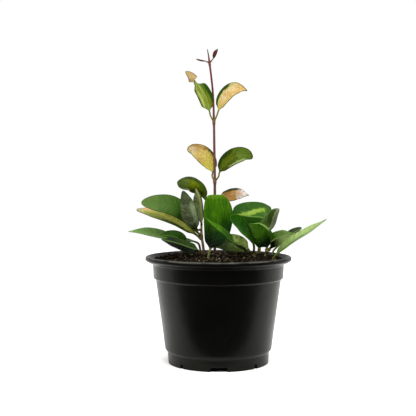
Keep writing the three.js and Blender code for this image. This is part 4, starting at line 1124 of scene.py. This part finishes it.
class Skin:
    """A leaf's skin: a ring of points at each station along its stalk and blade.

    across is 1 at one margin and -1 at the other, and side is 1 on the upper face and -1 below.
    """

    def __init__(self, leaf):
        foot = leaf["stalk_path"][0]
        rooted = [] if leaf["stem"] else [[foot[0], foot[1], foot[2] - ROOT_DEPTH]]
        stalk = rooted + leaf["stalk_path"]
        route = Route(stalk + leaf["rib"])
        start = route.share_at(len(stalk))
        stalk_count = math.ceil(start * route.length / STALK_STEP)
        shares = np.concatenate([
            np.linspace(0, start, stalk_count, endpoint=False), start + (1 - start) * blade_stations()])
        self.leaf = leaf
        self.from_foot = shares * route.length
        self.station = (shares - start) / (1 - start)
        self.run = self.station * (1 - start) * route.length
        self.place = np.maximum(self.station, 0)
        self.centre = route.point(np.minimum(shares, 1))
        tangent = route.tangent(np.minimum(shares, 1))
        up = direction_along(leaf["face"], self.place)
        self.up = unit(up - np.sum(up * tangent, axis=1, keepdims=True) * tangent)
        self.aside = np.cross(tangent, self.up)
        self.angle = 2 * math.pi * np.arange(LEAF_COLUMNS) / LEAF_COLUMNS
        self.across = np.cos(self.angle)[None, :]
        self.side = np.sign(np.round(np.sin(self.angle), 6))[None, :]
        self.reach = np.abs(self.across)
        past = np.clip(self.place - (1 - TIP_ROUND), 0, 1) / TIP_ROUND
        self.tip = np.sqrt(np.clip(1 - past ** 2, TIP_LEAST, 1))[:, None]
        self.width = self.half_width()
        self.from_rib = self.reach * self.width
        self.shape = (len(shares), LEAF_COLUMNS)

    def half_width(self):
        leaf = self.leaf
        scale = np.where(self.across > 0, leaf["halves"][0], leaf["halves"][1])
        outline = leaf["width"] / 2 * outline_at(leaf, self.place)[:, None] * scale
        least = (leaf["stalk"] * (1 - self.place) + TIP_HALF_WIDTH * self.place)[:, None]
        return np.maximum(outline, least) * self.tip

    def rise(self):
        """How far each point lies above or below the middle of the blade's thickness."""
        taper = np.clip((1 - self.place) / RIB_TAPER, 0, 1)[:, None]
        thickness = EDGE_THICKNESS + (RIB_THICKNESS - EDGE_THICKNESS) * (1 - self.reach) ** 2 * taper
        rounding = np.minimum(EDGE_THICKNESS / 2 / np.maximum(self.width, 1), 0.5)
        margin = np.clip((self.reach - 1 + rounding) / rounding, 0, 1)
        thickness = thickness * np.sqrt(np.maximum(1 - margin ** 2, 0)) * self.tip
        rib = np.where(self.side > 0, -RIB_GROOVE, RIB_RIDGE)
        groove = rib * np.exp(-(self.from_rib / RIB_SPREAD) ** 2) * taper
        return np.where(self.side == 0, 0, self.side * (thickness / 2 + groove))

    def blade_part(self):
        """The flat part, folded at a soft crease along the midrib and cupped."""
        fold = np.radians(along(self.leaf["fold"], self.place))[:, None]
        cup = math.radians(self.leaf["cup"])
        lift = fold + cup * self.reach / 2
        tilt = fold + cup * self.reach
        crease = CREASE / np.maximum(self.width, CREASE_LEAST_WIDTH)
        soft_reach = (np.sqrt(self.reach ** 2 + crease ** 2) - crease) / (np.sqrt(1 + crease ** 2) - crease)
        sign = self.across / np.sqrt(self.across ** 2 + crease ** 2)
        rise = self.rise()
        return (scaled(self.aside, self.across * self.width * np.cos(lift))
                + scaled(self.up, soft_reach * self.width * np.sin(lift))
                + scaled(self.up, rise * np.cos(tilt))
                - scaled(self.aside, rise * sign * np.sin(tilt)))

    def stalk_part(self):
        swell = 1 + FOOT_SWELL * np.exp(-((self.from_foot - FOOT_PLACE) / FOOT_LENGTH) ** 2)
        radius = self.leaf["stalk"] * swell[:, None]
        return (scaled(self.aside, radius * np.cos(self.angle))
                + scaled(self.up, radius * np.sin(self.angle)))

    def waves(self, seed):
        """Gentle unevenness of a grown blade, weakest at its midrib and base."""
        middle = self.centre[:, None, :] + scaled(self.aside, self.across * self.width)
        scale = WAVE_FREQUENCY
        swing = np.array([
            noise.noise(Vector((p[0] * scale + seed, p[1] * scale, p[2] * scale)))
            for p in middle.reshape(-1, 3)])
        height = min(self.leaf["width"] * WAVE_SHARE, WAVE_HEIGHT) * smooth(*WAVE_LIMITS, self.place)
        share = WAVE_AT_RIB + (1 - WAVE_AT_RIB) * self.reach ** 2
        return swing.reshape(self.shape) * share * height[:, None]

    def points(self, seed):
        flat = smooth(0, BLADE_OPENING, self.place)[:, None, None]
        skin = self.centre[:, None, :] + self.stalk_part() * (1 - flat) + self.blade_part() * flat
        return (skin + scaled(self.up, self.waves(seed))).reshape(-1, 3)


def leaf_piece(leaf, seed):
    skin = Skin(leaf)
    piece = make_solid(f"{leaf['name']}_blade", skin.points(seed), ring_faces(*skin.shape))
    values = dict(
        blade_along=skin.station[:, None], blade_run=skin.run[:, None], blade_across=skin.across,
        blade_side=skin.side, blade_rim=(1 - skin.reach) * skin.width, rib_distance=skin.from_rib)
    for name, value in values.items():
        add_attribute(piece, name, np.broadcast_to(value, skin.shape))
    return piece


def build_leaves():
    for index, item in enumerate(LEAVES):
        leaf = {**BASE_LEAF, **item}
        look = {**BASE_LOOK, **LOOKS[leaf["name"]]}
        piece = leaf_piece(leaf, SEED + LEAF_SEED_STEP * index)
        material = leaf_material(leaf["name"], look, LEAF_OFFSET_STEP * index)
        finish_piece(piece, material, leaf["slot"], leaf["name"])


# Stems
def stem_material(stem, look):
    """Coloured from the second point of the stem's path up to its last, and tinted at the nodes."""
    material, tree, shader = new_material(stem["name"])
    place = place_node(tree)
    low_z, high_z = stem["path"][1][2], stem["path"][-1][2]
    rise = ease(tree, split(tree, place)["Z"], low_z * MM, high_z * MM)
    streaks = noise_node(tree, place, *STEM_NOISE)
    streak_share = times(tree, ease(tree, streaks, *STEM_STREAK_LIMITS), STEM_STREAK_SHARE)
    colour = mix(tree, rise, look["low"], look["high"])
    colour = mix(tree, streak_share, colour, look["node"])
    colour = mix(tree, times(tree, attribute_node(tree, "node_nearness"), NODE_TINT), colour, look["node"])
    tree.links.new(colour, shader.inputs["Base Color"])
    shader.inputs["Roughness"].default_value = STEM_ROUGH
    bump(tree, shader, streaks, *STEM_BUMP)
    return material


def nearness(distance, length, offset=0):
    """1 at the offset from the nearest node, and less away from it."""
    return np.exp(-((distance - offset) / length) ** 2).max(axis=1)


def stem_piece(stem, seed):
    route = Route(stem["path"])
    steps = math.ceil(route.length / STEM_STEP)
    shares = np.linspace(0, 1, steps + 1)
    nodes = np.array([route.share_at(index) * route.length for index in stem["nodes"]])
    distance = np.abs(shares[:, None] * route.length - nodes[None, :])
    swell = nearness(distance, NODE_LENGTH)
    ring = nearness(distance, RING_LENGTH, RING_PLACE)
    radius = along(stem["radii"], route.place_of(shares)) * (1 + NODE_SWELL * swell + RING_SWELL * ring)
    end = np.clip((1 - shares) * route.length / radius, 0, 1)
    radius = radius * np.sqrt(np.maximum(1 - (1 - end) ** 2, STEM_END_LEAST))
    centre = route.point(shares)
    tangent = route.tangent(shares)
    side = unit(np.array([1, 0, 0]) - tangent[:, :1] * tangent)
    other = np.cross(tangent, side)
    angle = 2 * math.pi * np.arange(STEM_SIDES) / STEM_SIDES
    uneven = np.array([[
        noise.noise(Vector((math.cos(a) + seed, math.sin(a), share * route.length * STEM_UNEVEN_FREQUENCY)))
        for a in angle] for share in shares])
    size = radius[:, None] * (1 + STEM_UNEVEN * uneven)
    points = centre[:, None, :] + scaled(side, size * np.cos(angle)) + scaled(other, size * np.sin(angle))
    piece = make_solid(f"{stem['name']}_bark", points.reshape(-1, 3), ring_faces(*size.shape))
    tint = nearness(distance, NODE_TINT_LENGTH)[:, None]
    add_attribute(piece, "node_nearness", np.broadcast_to(tint, size.shape))
    return piece


def build_stems():
    for index, stem in enumerate(STEMS):
        look = STEM_LOOKS[stem["look"]]
        piece = stem_piece(stem, SEED + STEM_SEED_STEP * index)
        finish_piece(piece, stem_material(stem, look), look["slot"], stem["name"])


# Pot: a profile's rows are the radius, the height and the rounding of each corner
def wall_profile():
    bevel = LIP_ROUND * LIP_BEVEL
    return [
        (BASE_RADIUS, 0, 0),
        (BAND_RADIUS, BAND_TOP, 1.2),
        (WALL_FOOT_RADIUS, WALL_FOOT_Z, 2.0),
        (WALL_TOP_RADIUS, COLLAR_BOTTOM - COLLAR_STEP, 0.8),
        (COLLAR_RADIUS - COLLAR_TAPER, COLLAR_BOTTOM, 0.8),
        (COLLAR_RADIUS, POT_HEIGHT - COLLAR_FLARE, 1.4),
        (LIP_RADIUS - LIP_ROUND / 2, POT_HEIGHT - LIP_DEPTH, 0.6),
        (LIP_RADIUS, POT_HEIGHT - LIP_DEPTH + LIP_ROUND / 2, 0.6),
        (LIP_RADIUS, POT_HEIGHT - LIP_ROUND, 0.8),
        (LIP_RADIUS - bevel, POT_HEIGHT - bevel, 0.8),
        (LIP_RADIUS - LIP_ROUND, POT_HEIGHT, 0.6),
        (MOUTH_RADIUS + MOUTH_DROP, POT_HEIGHT, 0.6),
        (MOUTH_RADIUS, POT_HEIGHT - MOUTH_DROP, 0),
    ]


def inside_profile():
    rise = WALL / 2
    return [
        (MOUTH_RADIUS, POT_HEIGHT - MOUTH_DROP, 0),
        (COLLAR_RADIUS - WALL, POT_HEIGHT - COLLAR_FLARE + WALL, 4),
        (COLLAR_RADIUS - COLLAR_TAPER - WALL, COLLAR_BOTTOM + rise, 1.5),
        (WALL_TOP_RADIUS - WALL, COLLAR_BOTTOM - COLLAR_STEP + rise, 1.5),
        (WALL_FOOT_RADIUS - WALL, WALL_FOOT_Z + rise, 2),
        (BAND_RADIUS - WALL, BAND_TOP + rise, 1.5),
        (BASE_RADIUS - WALL, POT_FLOOR, 0),
    ]


def round_corners(profile):
    """The profile's points, with each inner corner rounded off."""
    corners = [np.array(row[:2], float) for row in profile]
    result = [corners[0]]
    for before, corner, after, row in zip(corners, corners[1:], corners[2:], profile[1:]):
        back, ahead = before - corner, after - corner
        reach = min(row[2], CORNER_REACH * np.linalg.norm(back), CORNER_REACH * np.linalg.norm(ahead))
        enter, leave = corner + unit(back) * reach, corner + unit(ahead) * reach
        for step in range(CORNER_STEPS + 1):
            t = step / CORNER_STEPS
            result.append((1 - t) ** 2 * enter + 2 * t * (1 - t) * corner + t ** 2 * leave)
    return result + [corners[-1]]


def revolve(name, profile):
    """A closed solid of revolution about the pot's axis."""
    points = []
    for radius, z in profile:
        for k in range(POT_SIDES):
            angle = 2 * math.pi * k / POT_SIDES
            points.append((radius * math.cos(angle), radius * math.sin(angle), z))
    return make_solid(name, points, ring_faces(len(profile), POT_SIDES))


def radial_bar(start, width, top_width, angle, end, bottom, top):
    """A bar of trapezoid section that runs outwards from the pot's axis, as points and faces."""
    points = []
    for place in (start, end):
        corners = [(-width, bottom), (width, bottom), (top_width, top), (-top_width, top)]
        for across, z in corners:
            points.append(Matrix.Rotation(angle, 3, "Z") @ Vector((across / 2, -place, z)))
    faces = [(0, 1, 2, 3), (7, 6, 5, 4), (0, 4, 5, 1), (1, 5, 6, 2), (2, 6, 7, 3), (3, 7, 4, 0)]
    return points, faces


def drain_hole(place, angle):
    centre = Matrix.Rotation(angle, 3, "Z") @ Vector((0, -place, 0))
    points = []
    for z in (-CUT_BELOW, 2 * CHANNEL_HEIGHT):
        for k in range(DRAIN_SIDES):
            turn = 2 * math.pi * k / DRAIN_SIDES
            reach = Vector((math.cos(turn), math.sin(turn), 0)) * DRAIN_RADIUS
            points.append(centre + reach + Vector((0, 0, z)))
    return points, ring_faces(2, DRAIN_SIDES)


def pot_material():
    material, tree, shader = new_material("black_nursery_plastic")
    place = place_node(tree)
    parts = dict(
        broad=noise_node(tree, place, *BROAD_NOISE),
        ripple=noise_node(tree, place, *RIPPLE_NOISE),
        fine=noise_node(tree, place, *FINE_NOISE),
    )
    scuffs = noise_node(tree, place, *SCUFF_NOISE)
    dust = times(tree, ease(tree, scuffs, *DUST_LIMITS), DUST_SHARE)
    colour = mix(tree, parts["broad"], *PLASTIC_COLOURS)
    colour = mix(tree, dust, colour, DUST_COLOUR)
    # Painted highlight along the lip's outer top edge
    colour = mix(tree, lip_highlight(tree, place, parts["ripple"]), colour, LIP_HIGHLIGHT_COLOUR)
    tree.links.new(colour, shader.inputs["Base Color"])
    shader.inputs["Specular Tint"].default_value = linear(PLASTIC_SHEEN)
    shader.inputs["Specular IOR Level"].default_value = PLASTIC_SPECULAR
    rough = add(tree, PLASTIC_ROUGH, times(tree, parts["broad"], PLASTIC_ROUGH_SWING), dust)
    tree.links.new(rough, shader.inputs["Roughness"])
    bump(tree, shader, relief(tree, parts, PLASTIC_RELIEF), *PLASTIC_BUMP)
    return material


def lip_highlight(tree, place, ripple):
    """Where a highlight is painted along the lip's outer top edge."""
    parts = split(tree, place)
    top = ease(tree, parts["Z"], (POT_HEIGHT - LIP_ROUND) * MM, (POT_HEIGHT - LIP_HIGHLIGHT_DEPTH) * MM)
    squares = add(tree, calc(tree, "POWER", parts["X"], 2.0), calc(tree, "POWER", parts["Y"], 2.0))
    from_axis = calc(tree, "SQRT", squares)
    outer = ease(tree, from_axis, (LIP_RADIUS - LIP_ROUND) * MM, (LIP_RADIUS - LIP_HIGHLIGHT_DEPTH) * MM)
    return times(tree, top, times(tree, outer, ease(tree, ripple, *LIP_HIGHLIGHT_LIMITS)))


def build_pot():
    outside = round_corners(wall_profile())
    inside = round_corners(inside_profile())
    pot = revolve("pot_moulding", outside + inside[1:])
    limit = revolve("pot_limit", outside)
    housings, bars, holes = [], [], []
    for i in range(CHANNEL_COUNT):
        turn = i * 2 * math.pi / CHANNEL_COUNT
        between = turn + math.pi / CHANNEL_COUNT
        housings.append(radial_bar(
            CHANNEL_START - WALL, CHANNEL_WIDTH + 2 * WALL, CHANNEL_TOP_WIDTH + 2 * WALL, turn,
            BASE_RADIUS - CHANNEL_INSET, 0, CHANNEL_HEIGHT + WALL))
        bars.append(radial_bar(
            CHANNEL_START, CHANNEL_WIDTH, CHANNEL_TOP_WIDTH, turn, LIP_RADIUS, -CUT_BELOW, CHANNEL_HEIGHT))
        bars.append(radial_bar(
            SMALL_NOTCH_START, SMALL_NOTCH_WIDTH, SMALL_NOTCH_WIDTH, between, LIP_RADIUS, -CUT_BELOW,
            CHANNEL_HEIGHT))
        holes.append(drain_hole(CHANNEL_DRAIN_PLACE, turn))
        holes.append(drain_hole(FLOOR_DRAIN_PLACE, between))
    channels = joined("housings", housings)
    cut(channels, limit, "INTERSECT")
    cut(pot, channels, "UNION")
    cut(pot, joined("bars", bars), "DIFFERENCE")
    cut(pot, joined("holes", holes), "DIFFERENCE")
    pot.data.set_sharp_from_angle(angle=math.radians(SHARP_ANGLE))
    finish_piece(pot, pot_material(), "pot_plastic", "pot")


# Soil
def soil_height(x, y):
    """Height of the frame's soil, which slopes to the wall and is calm there."""
    r = math.hypot(x, y)
    mound = SOIL_CREST - SOIL_FALL * r * r - SOIL_EDGE_DROP * (r / SOIL_EDGE) ** SOIL_EDGE_POWER
    wide, fine = BROAD_LUMPS, SMALL_LUMPS
    broad = math.sin(wide["x"] * x + wide["start_x"]) * math.cos(wide["y"] * y + wide["start_y"])
    small = fine["share"] * math.sin(fine["x"] * x + fine["y"] * y + fine["start"])
    calm = 1 - float(smooth(SOIL_EDGE - SOIL_CALM_EDGE, SOIL_EDGE, r))
    return mound + LUMP_HEIGHT * (broad + small) * calm


def lumps(x, y, waves, layer, level, height):
    """Rounded lumps, one for each cell of a pattern."""
    return height * (level - noise.voronoi(Vector((x * waves, y * waves, layer)))[0][0])


def soil_top(x, y):
    """Height of the crumbly top, which is thinner at the pot's wall."""
    waves = SWELLS["waves"]
    swell = noise.fractal(Vector((x * waves, y * waves, SWELLS["layer"])), *SWELLS["fractal"])
    cover = SOIL_COVER + lumps(x, y, *CLODS) + lumps(x, y, *CRUMBS) + SWELLS["height"] * swell
    inside = float(smooth(SOIL_REACH, SOIL_REACH - COVER_FADE, math.hypot(x, y)))
    return soil_height(x, y) + cover * (COVER_AT_EDGE + (1 - COVER_AT_EDGE) * inside)


def soil_material(name):
    dark, light, pale = SOIL_COLOURS[name]
    material, tree, shader = new_material(name)
    place = place_node(tree)
    clumps = noise_node(tree, place, *SOIL_CLUMP_NOISE)
    grains = noise_node(tree, place, *SOIL_GRAIN_NOISE)
    grain_share = times(tree, ease(tree, grains, *SOIL_GRAIN_LIMITS), SOIL_GRAIN_SHARE)
    colour = mix(tree, ease(tree, clumps, *SOIL_CLUMP_LIMITS), dark, light)
    tree.links.new(mix(tree, grain_share, colour, pale), shader.inputs["Base Color"])
    shader.inputs["Roughness"].default_value = SOIL_ROUGH
    shader.inputs["Specular IOR Level"].default_value = SOIL_SPECULAR
    bump(tree, shader, add(tree, grains, clumps), *SOIL_BUMP)
    return material


def build_soil_layer(material):
    """The crumbly top: rings of points from the wall to the middle, over a plain underside."""
    points = []
    for ring in range(SOIL_RINGS):
        radius = SOIL_REACH * (1 - ring / SOIL_RINGS) ** RING_CROWDING
        for k in range(SOIL_SPOKES):
            angle = 2 * math.pi * (k + 0.5 * (ring % 2)) / SOIL_SPOKES
            x, y = radius * math.cos(angle), radius * math.sin(angle)
            points.append((x, y, soil_top(x, y)))
    under = []
    for share in (UNDERSIDE_REACH, 1):
        for x, y, _ in points[:SOIL_SPOKES]:
            under.append((share * x, share * y, soil_height(share * x, share * y) - SOIL_LAYER))
    layer = make_solid("soil_crumbly_top", under + points, ring_faces(SOIL_RINGS + 2, SOIL_SPOKES))
    finish_piece(layer, material, "soil")


def chip(rng, size, long, flat):
    """One uneven grain, as points and faces round the origin."""
    shape = bmesh.new()
    bmesh.ops.create_icosphere(shape, subdivisions=2, radius=1)
    shift = Vector((rng.uniform(0, GRAIN_SHIFT), 0, 0))
    for vertex in shape.verts:
        way = vertex.co.normalized()
        vertex.co = way * (1 + GRAIN_UNEVEN * noise.noise(way * GRAIN_WAVES + shift))
    shape.transform(Matrix.Diagonal((long * size, size, flat * size, 1)))
    tip_x = Matrix.Rotation(rng.uniform(-GRAIN_TIP_X, GRAIN_TIP_X), 4, "X")
    tip_y = Matrix.Rotation(rng.uniform(-GRAIN_TIP_Y, GRAIN_TIP_Y), 4, "Y")
    shape.transform(Matrix.Rotation(rng.uniform(0, 2 * math.pi), 4, "Z") @ (tip_x @ tip_y))
    points = [vertex.co.copy() for vertex in shape.verts]
    faces = [tuple(vertex.index for vertex in face.verts) for face in shape.faces]
    shape.free()
    return points, faces


def fibre(rng, x, y):
    """A thin bent strand that lies on the soil, as points and faces."""
    heading = rng.uniform(0, 2 * math.pi)
    length = rng.uniform(*FIBRE_LENGTH)
    bend = rng.uniform(-FIBRE_BEND, FIBRE_BEND) * length
    radius = rng.uniform(*FIBRE_RADIUS)
    arch = rng.uniform(0, FIBRE_ARCH)
    ahead = Vector((math.cos(heading), math.sin(heading), 0))
    aside = Vector((-math.sin(heading), math.cos(heading), 0))
    points = []
    for step in range(FIBRE_STEPS + 1):
        t = step / FIBRE_STEPS
        hump = math.sin(math.pi * t)
        middle = Vector((x, y, 0)) + ahead * (t - 0.5) * length + aside * bend * hump
        middle.z = soil_top(middle.x, middle.y) + arch * hump
        for k in range(FIBRE_SIDES):
            turn = 2 * math.pi * k / FIBRE_SIDES
            rise = Vector((0, 0, radius * math.sin(turn)))
            points.append(middle + aside * radius * math.cos(turn) + rise)
    return points, ring_faces(FIBRE_STEPS + 1, FIBRE_SIDES)


def anywhere(x, y):
    return 1.0


def mostly_left(x, y):
    return TAN_LEAST + (1 - TAN_LEAST) * float(smooth(*TAN_LIMITS, x))


def mostly_front(x, y):
    across, deep = (x - PALE_CENTRE[0]) / PALE_SPREAD[0], (y - PALE_CENTRE[1]) / PALE_SPREAD[1]
    return PALE_LEAST + (1 - PALE_LEAST) * math.exp(-across ** 2 - deep ** 2)


def scattered_places(rng, count, reach, weight):
    """Places within a reach of the pot's axis, denser where the weight is higher."""
    places = []
    while len(places) < count:
        radius = reach * math.sqrt(rng.random())
        angle = rng.uniform(0, 2 * math.pi)
        x, y = radius * math.cos(angle), radius * math.sin(angle)
        if rng.random() < weight(x, y):
            places.append((x, y))
    return places


def scatter(name, material, seed, count, size, long, flat, weight):
    """Grains over the soil, joined in one mesh. size is a radius, long and flat are shares of it."""
    rng = random.Random(seed)
    shapes = []
    for x, y in scattered_places(rng, count, SOIL_REACH - GRAIN_EDGE, weight):
        grain = rng.uniform(*size)
        points, faces = chip(rng, grain, rng.uniform(*long), rng.uniform(*flat))
        base = Vector((x, y, soil_top(x, y) + GRAIN_RAISE * grain))
        shapes.append(([base + point for point in points], faces))
    finish_piece(joined(name, shapes), material, "soil")


def build_fibres(material, seed):
    rng = random.Random(seed)
    places = scattered_places(rng, FIBRE_COUNT, SOIL_REACH - FIBRE_LENGTH[1], mostly_front)
    piece = joined("soil_strands", [fibre(rng, x, y) for x, y in places])
    finish_piece(piece, material, "soil")


def build_soil():
    """Dresses the frame's soil, and lays the loose soil on it."""
    potting_mix, bark, tan, pale, strands = (soil_material(name) for name in SOIL_COLOURS)
    dress(bpy.data.objects["potting_soil"], potting_mix)
    build_soil_layer(potting_mix)
    scatter("soil_crumbs", potting_mix, SEED, count=620, size=(0.5, 1.7), long=(1.0, 1.5), flat=(0.6, 0.9),
            weight=anywhere)
    scatter("soil_bark_chips", bark, SEED + 1, count=300, size=(0.5, 1.4), long=(1.4, 3.4),
            flat=(0.3, 0.6), weight=anywhere)
    scatter("soil_tan_grit", tan, SEED + 2, count=230, size=(0.35, 1.0), long=(1.0, 1.8),
            flat=(0.5, 0.9), weight=mostly_left)
    scatter("soil_pale_grit", pale, SEED + 3, count=190, size=(0.35, 1.1), long=(1.0, 1.5),
            flat=(0.7, 1.0), weight=mostly_front)
    build_fibres(strands, SEED + 4)


# Stage
def floor_material():
    """White, with a little light of its own, which fades out towards the pot's foot and is gone under the
    pot: a painted shade round the foot.
    """
    material, tree, shader = new_material("studio_floor")
    shader.inputs["Base Color"].default_value = linear(FLOOR_COLOUR)
    shader.inputs["Roughness"].default_value = FLOOR_ROUGH
    shader.inputs["Specular IOR Level"].default_value = 0.0
    shader.inputs["Emission Color"].default_value = linear(FLOOR_COLOUR)
    from_axis = tree.nodes.new("ShaderNodeVectorMath")
    from_axis.operation = "LENGTH"
    tree.links.new(place_node(tree), from_axis.inputs[0])
    # No glow under the pot and less beside its foot: painted shade
    glow_past_painted_shade = ease(tree, from_axis.outputs["Value"], BASE_RADIUS * MM, (BASE_RADIUS + FLOOR_SHADE) * MM)
    tree.links.new(times(tree, glow_past_painted_shade, FLOOR_GLOW), shader.inputs["Emission Strength"])
    return material


def build_floor():
    """A white sheet under the pot, and its front part, which stays out of the plastic's reflections."""
    material = floor_material()
    spans = {"studio_floor": (FLOOR_FRONT, FLOOR_REACH), "studio_floor_front": (-FLOOR_REACH, FLOOR_FRONT)}
    for name, (near, far) in spans.items():
        corners = [
            (-FLOOR_REACH, near, 0), (FLOOR_REACH, near, 0), (FLOOR_REACH, far, 0), (-FLOOR_REACH, far, 0)]
        sheet = make_object(name, corners, [(0, 1, 2, 3)], smooth_faces=False)
        dress(sheet, material)
        sheet.visible_glossy = near == FLOOR_FRONT


def build_world():
    """White all round, with a dark room before the pot, which its plastic reflects."""
    world = bpy.data.worlds.new("studio")
    world.use_nodes = True
    bpy.context.scene.world = world
    tree = world.node_tree
    background = tree.nodes["Background"]
    parts = split(tree, tree.nodes.new("ShaderNodeTexCoord").outputs["Generated"])
    room = times(tree, ease(tree, parts["Y"], *ROOM_LIMITS), ease(tree, parts["Z"], *ROOM_TOP_LIMITS))
    level = times(tree, opposite(tree, room), WORLD_LEVEL)
    level = add(tree, level, times(tree, ease(tree, parts["Z"], *CEILING_LIMITS), CEILING_LEVEL))
    seen = tree.nodes.new("ShaderNodeLightPath").outputs["Is Camera Ray"]
    level = add(tree, level, times(tree, seen, opposite(tree, level)))
    background.inputs["Color"].default_value = (1, 1, 1, 1)
    tree.links.new(level, background.inputs["Strength"])


def build_light(name, place, size, power):
    data = bpy.data.lights.new(name, "AREA")
    data.shape = "DISK"
    data.size = size * MM
    data.energy = power
    lamp = bpy.data.objects.new(name, data)
    lamp.location = Vector(place) * MM
    lamp.rotation_euler = (Vector(LIGHT_TARGET) - Vector(place)).to_track_quat("-Z", "Y").to_euler()
    bpy.context.scene.collection.objects.link(lamp)


def build_camera():
    data = bpy.data.cameras.new("photo_camera")
    data.lens = CAMERA_LENS
    data.sensor_width = SENSOR_WIDTH
    camera = bpy.data.objects.new("photo_camera", data)
    camera.location = Vector(CAMERA_PLACE) * MM
    camera.rotation_euler = (math.pi / 2 - CAMERA_PITCH, 0, 0)
    bpy.context.scene.collection.objects.link(camera)
    bpy.context.scene.camera = camera


def build_stage():
    build_camera()
    build_floor()
    build_world()
    for light in LIGHTS:
        build_light(**light)
    bpy.context.scene.view_settings.view_transform = "Standard"


build_stage()
build_pot()
build_soil()
build_stems()
build_leaves()
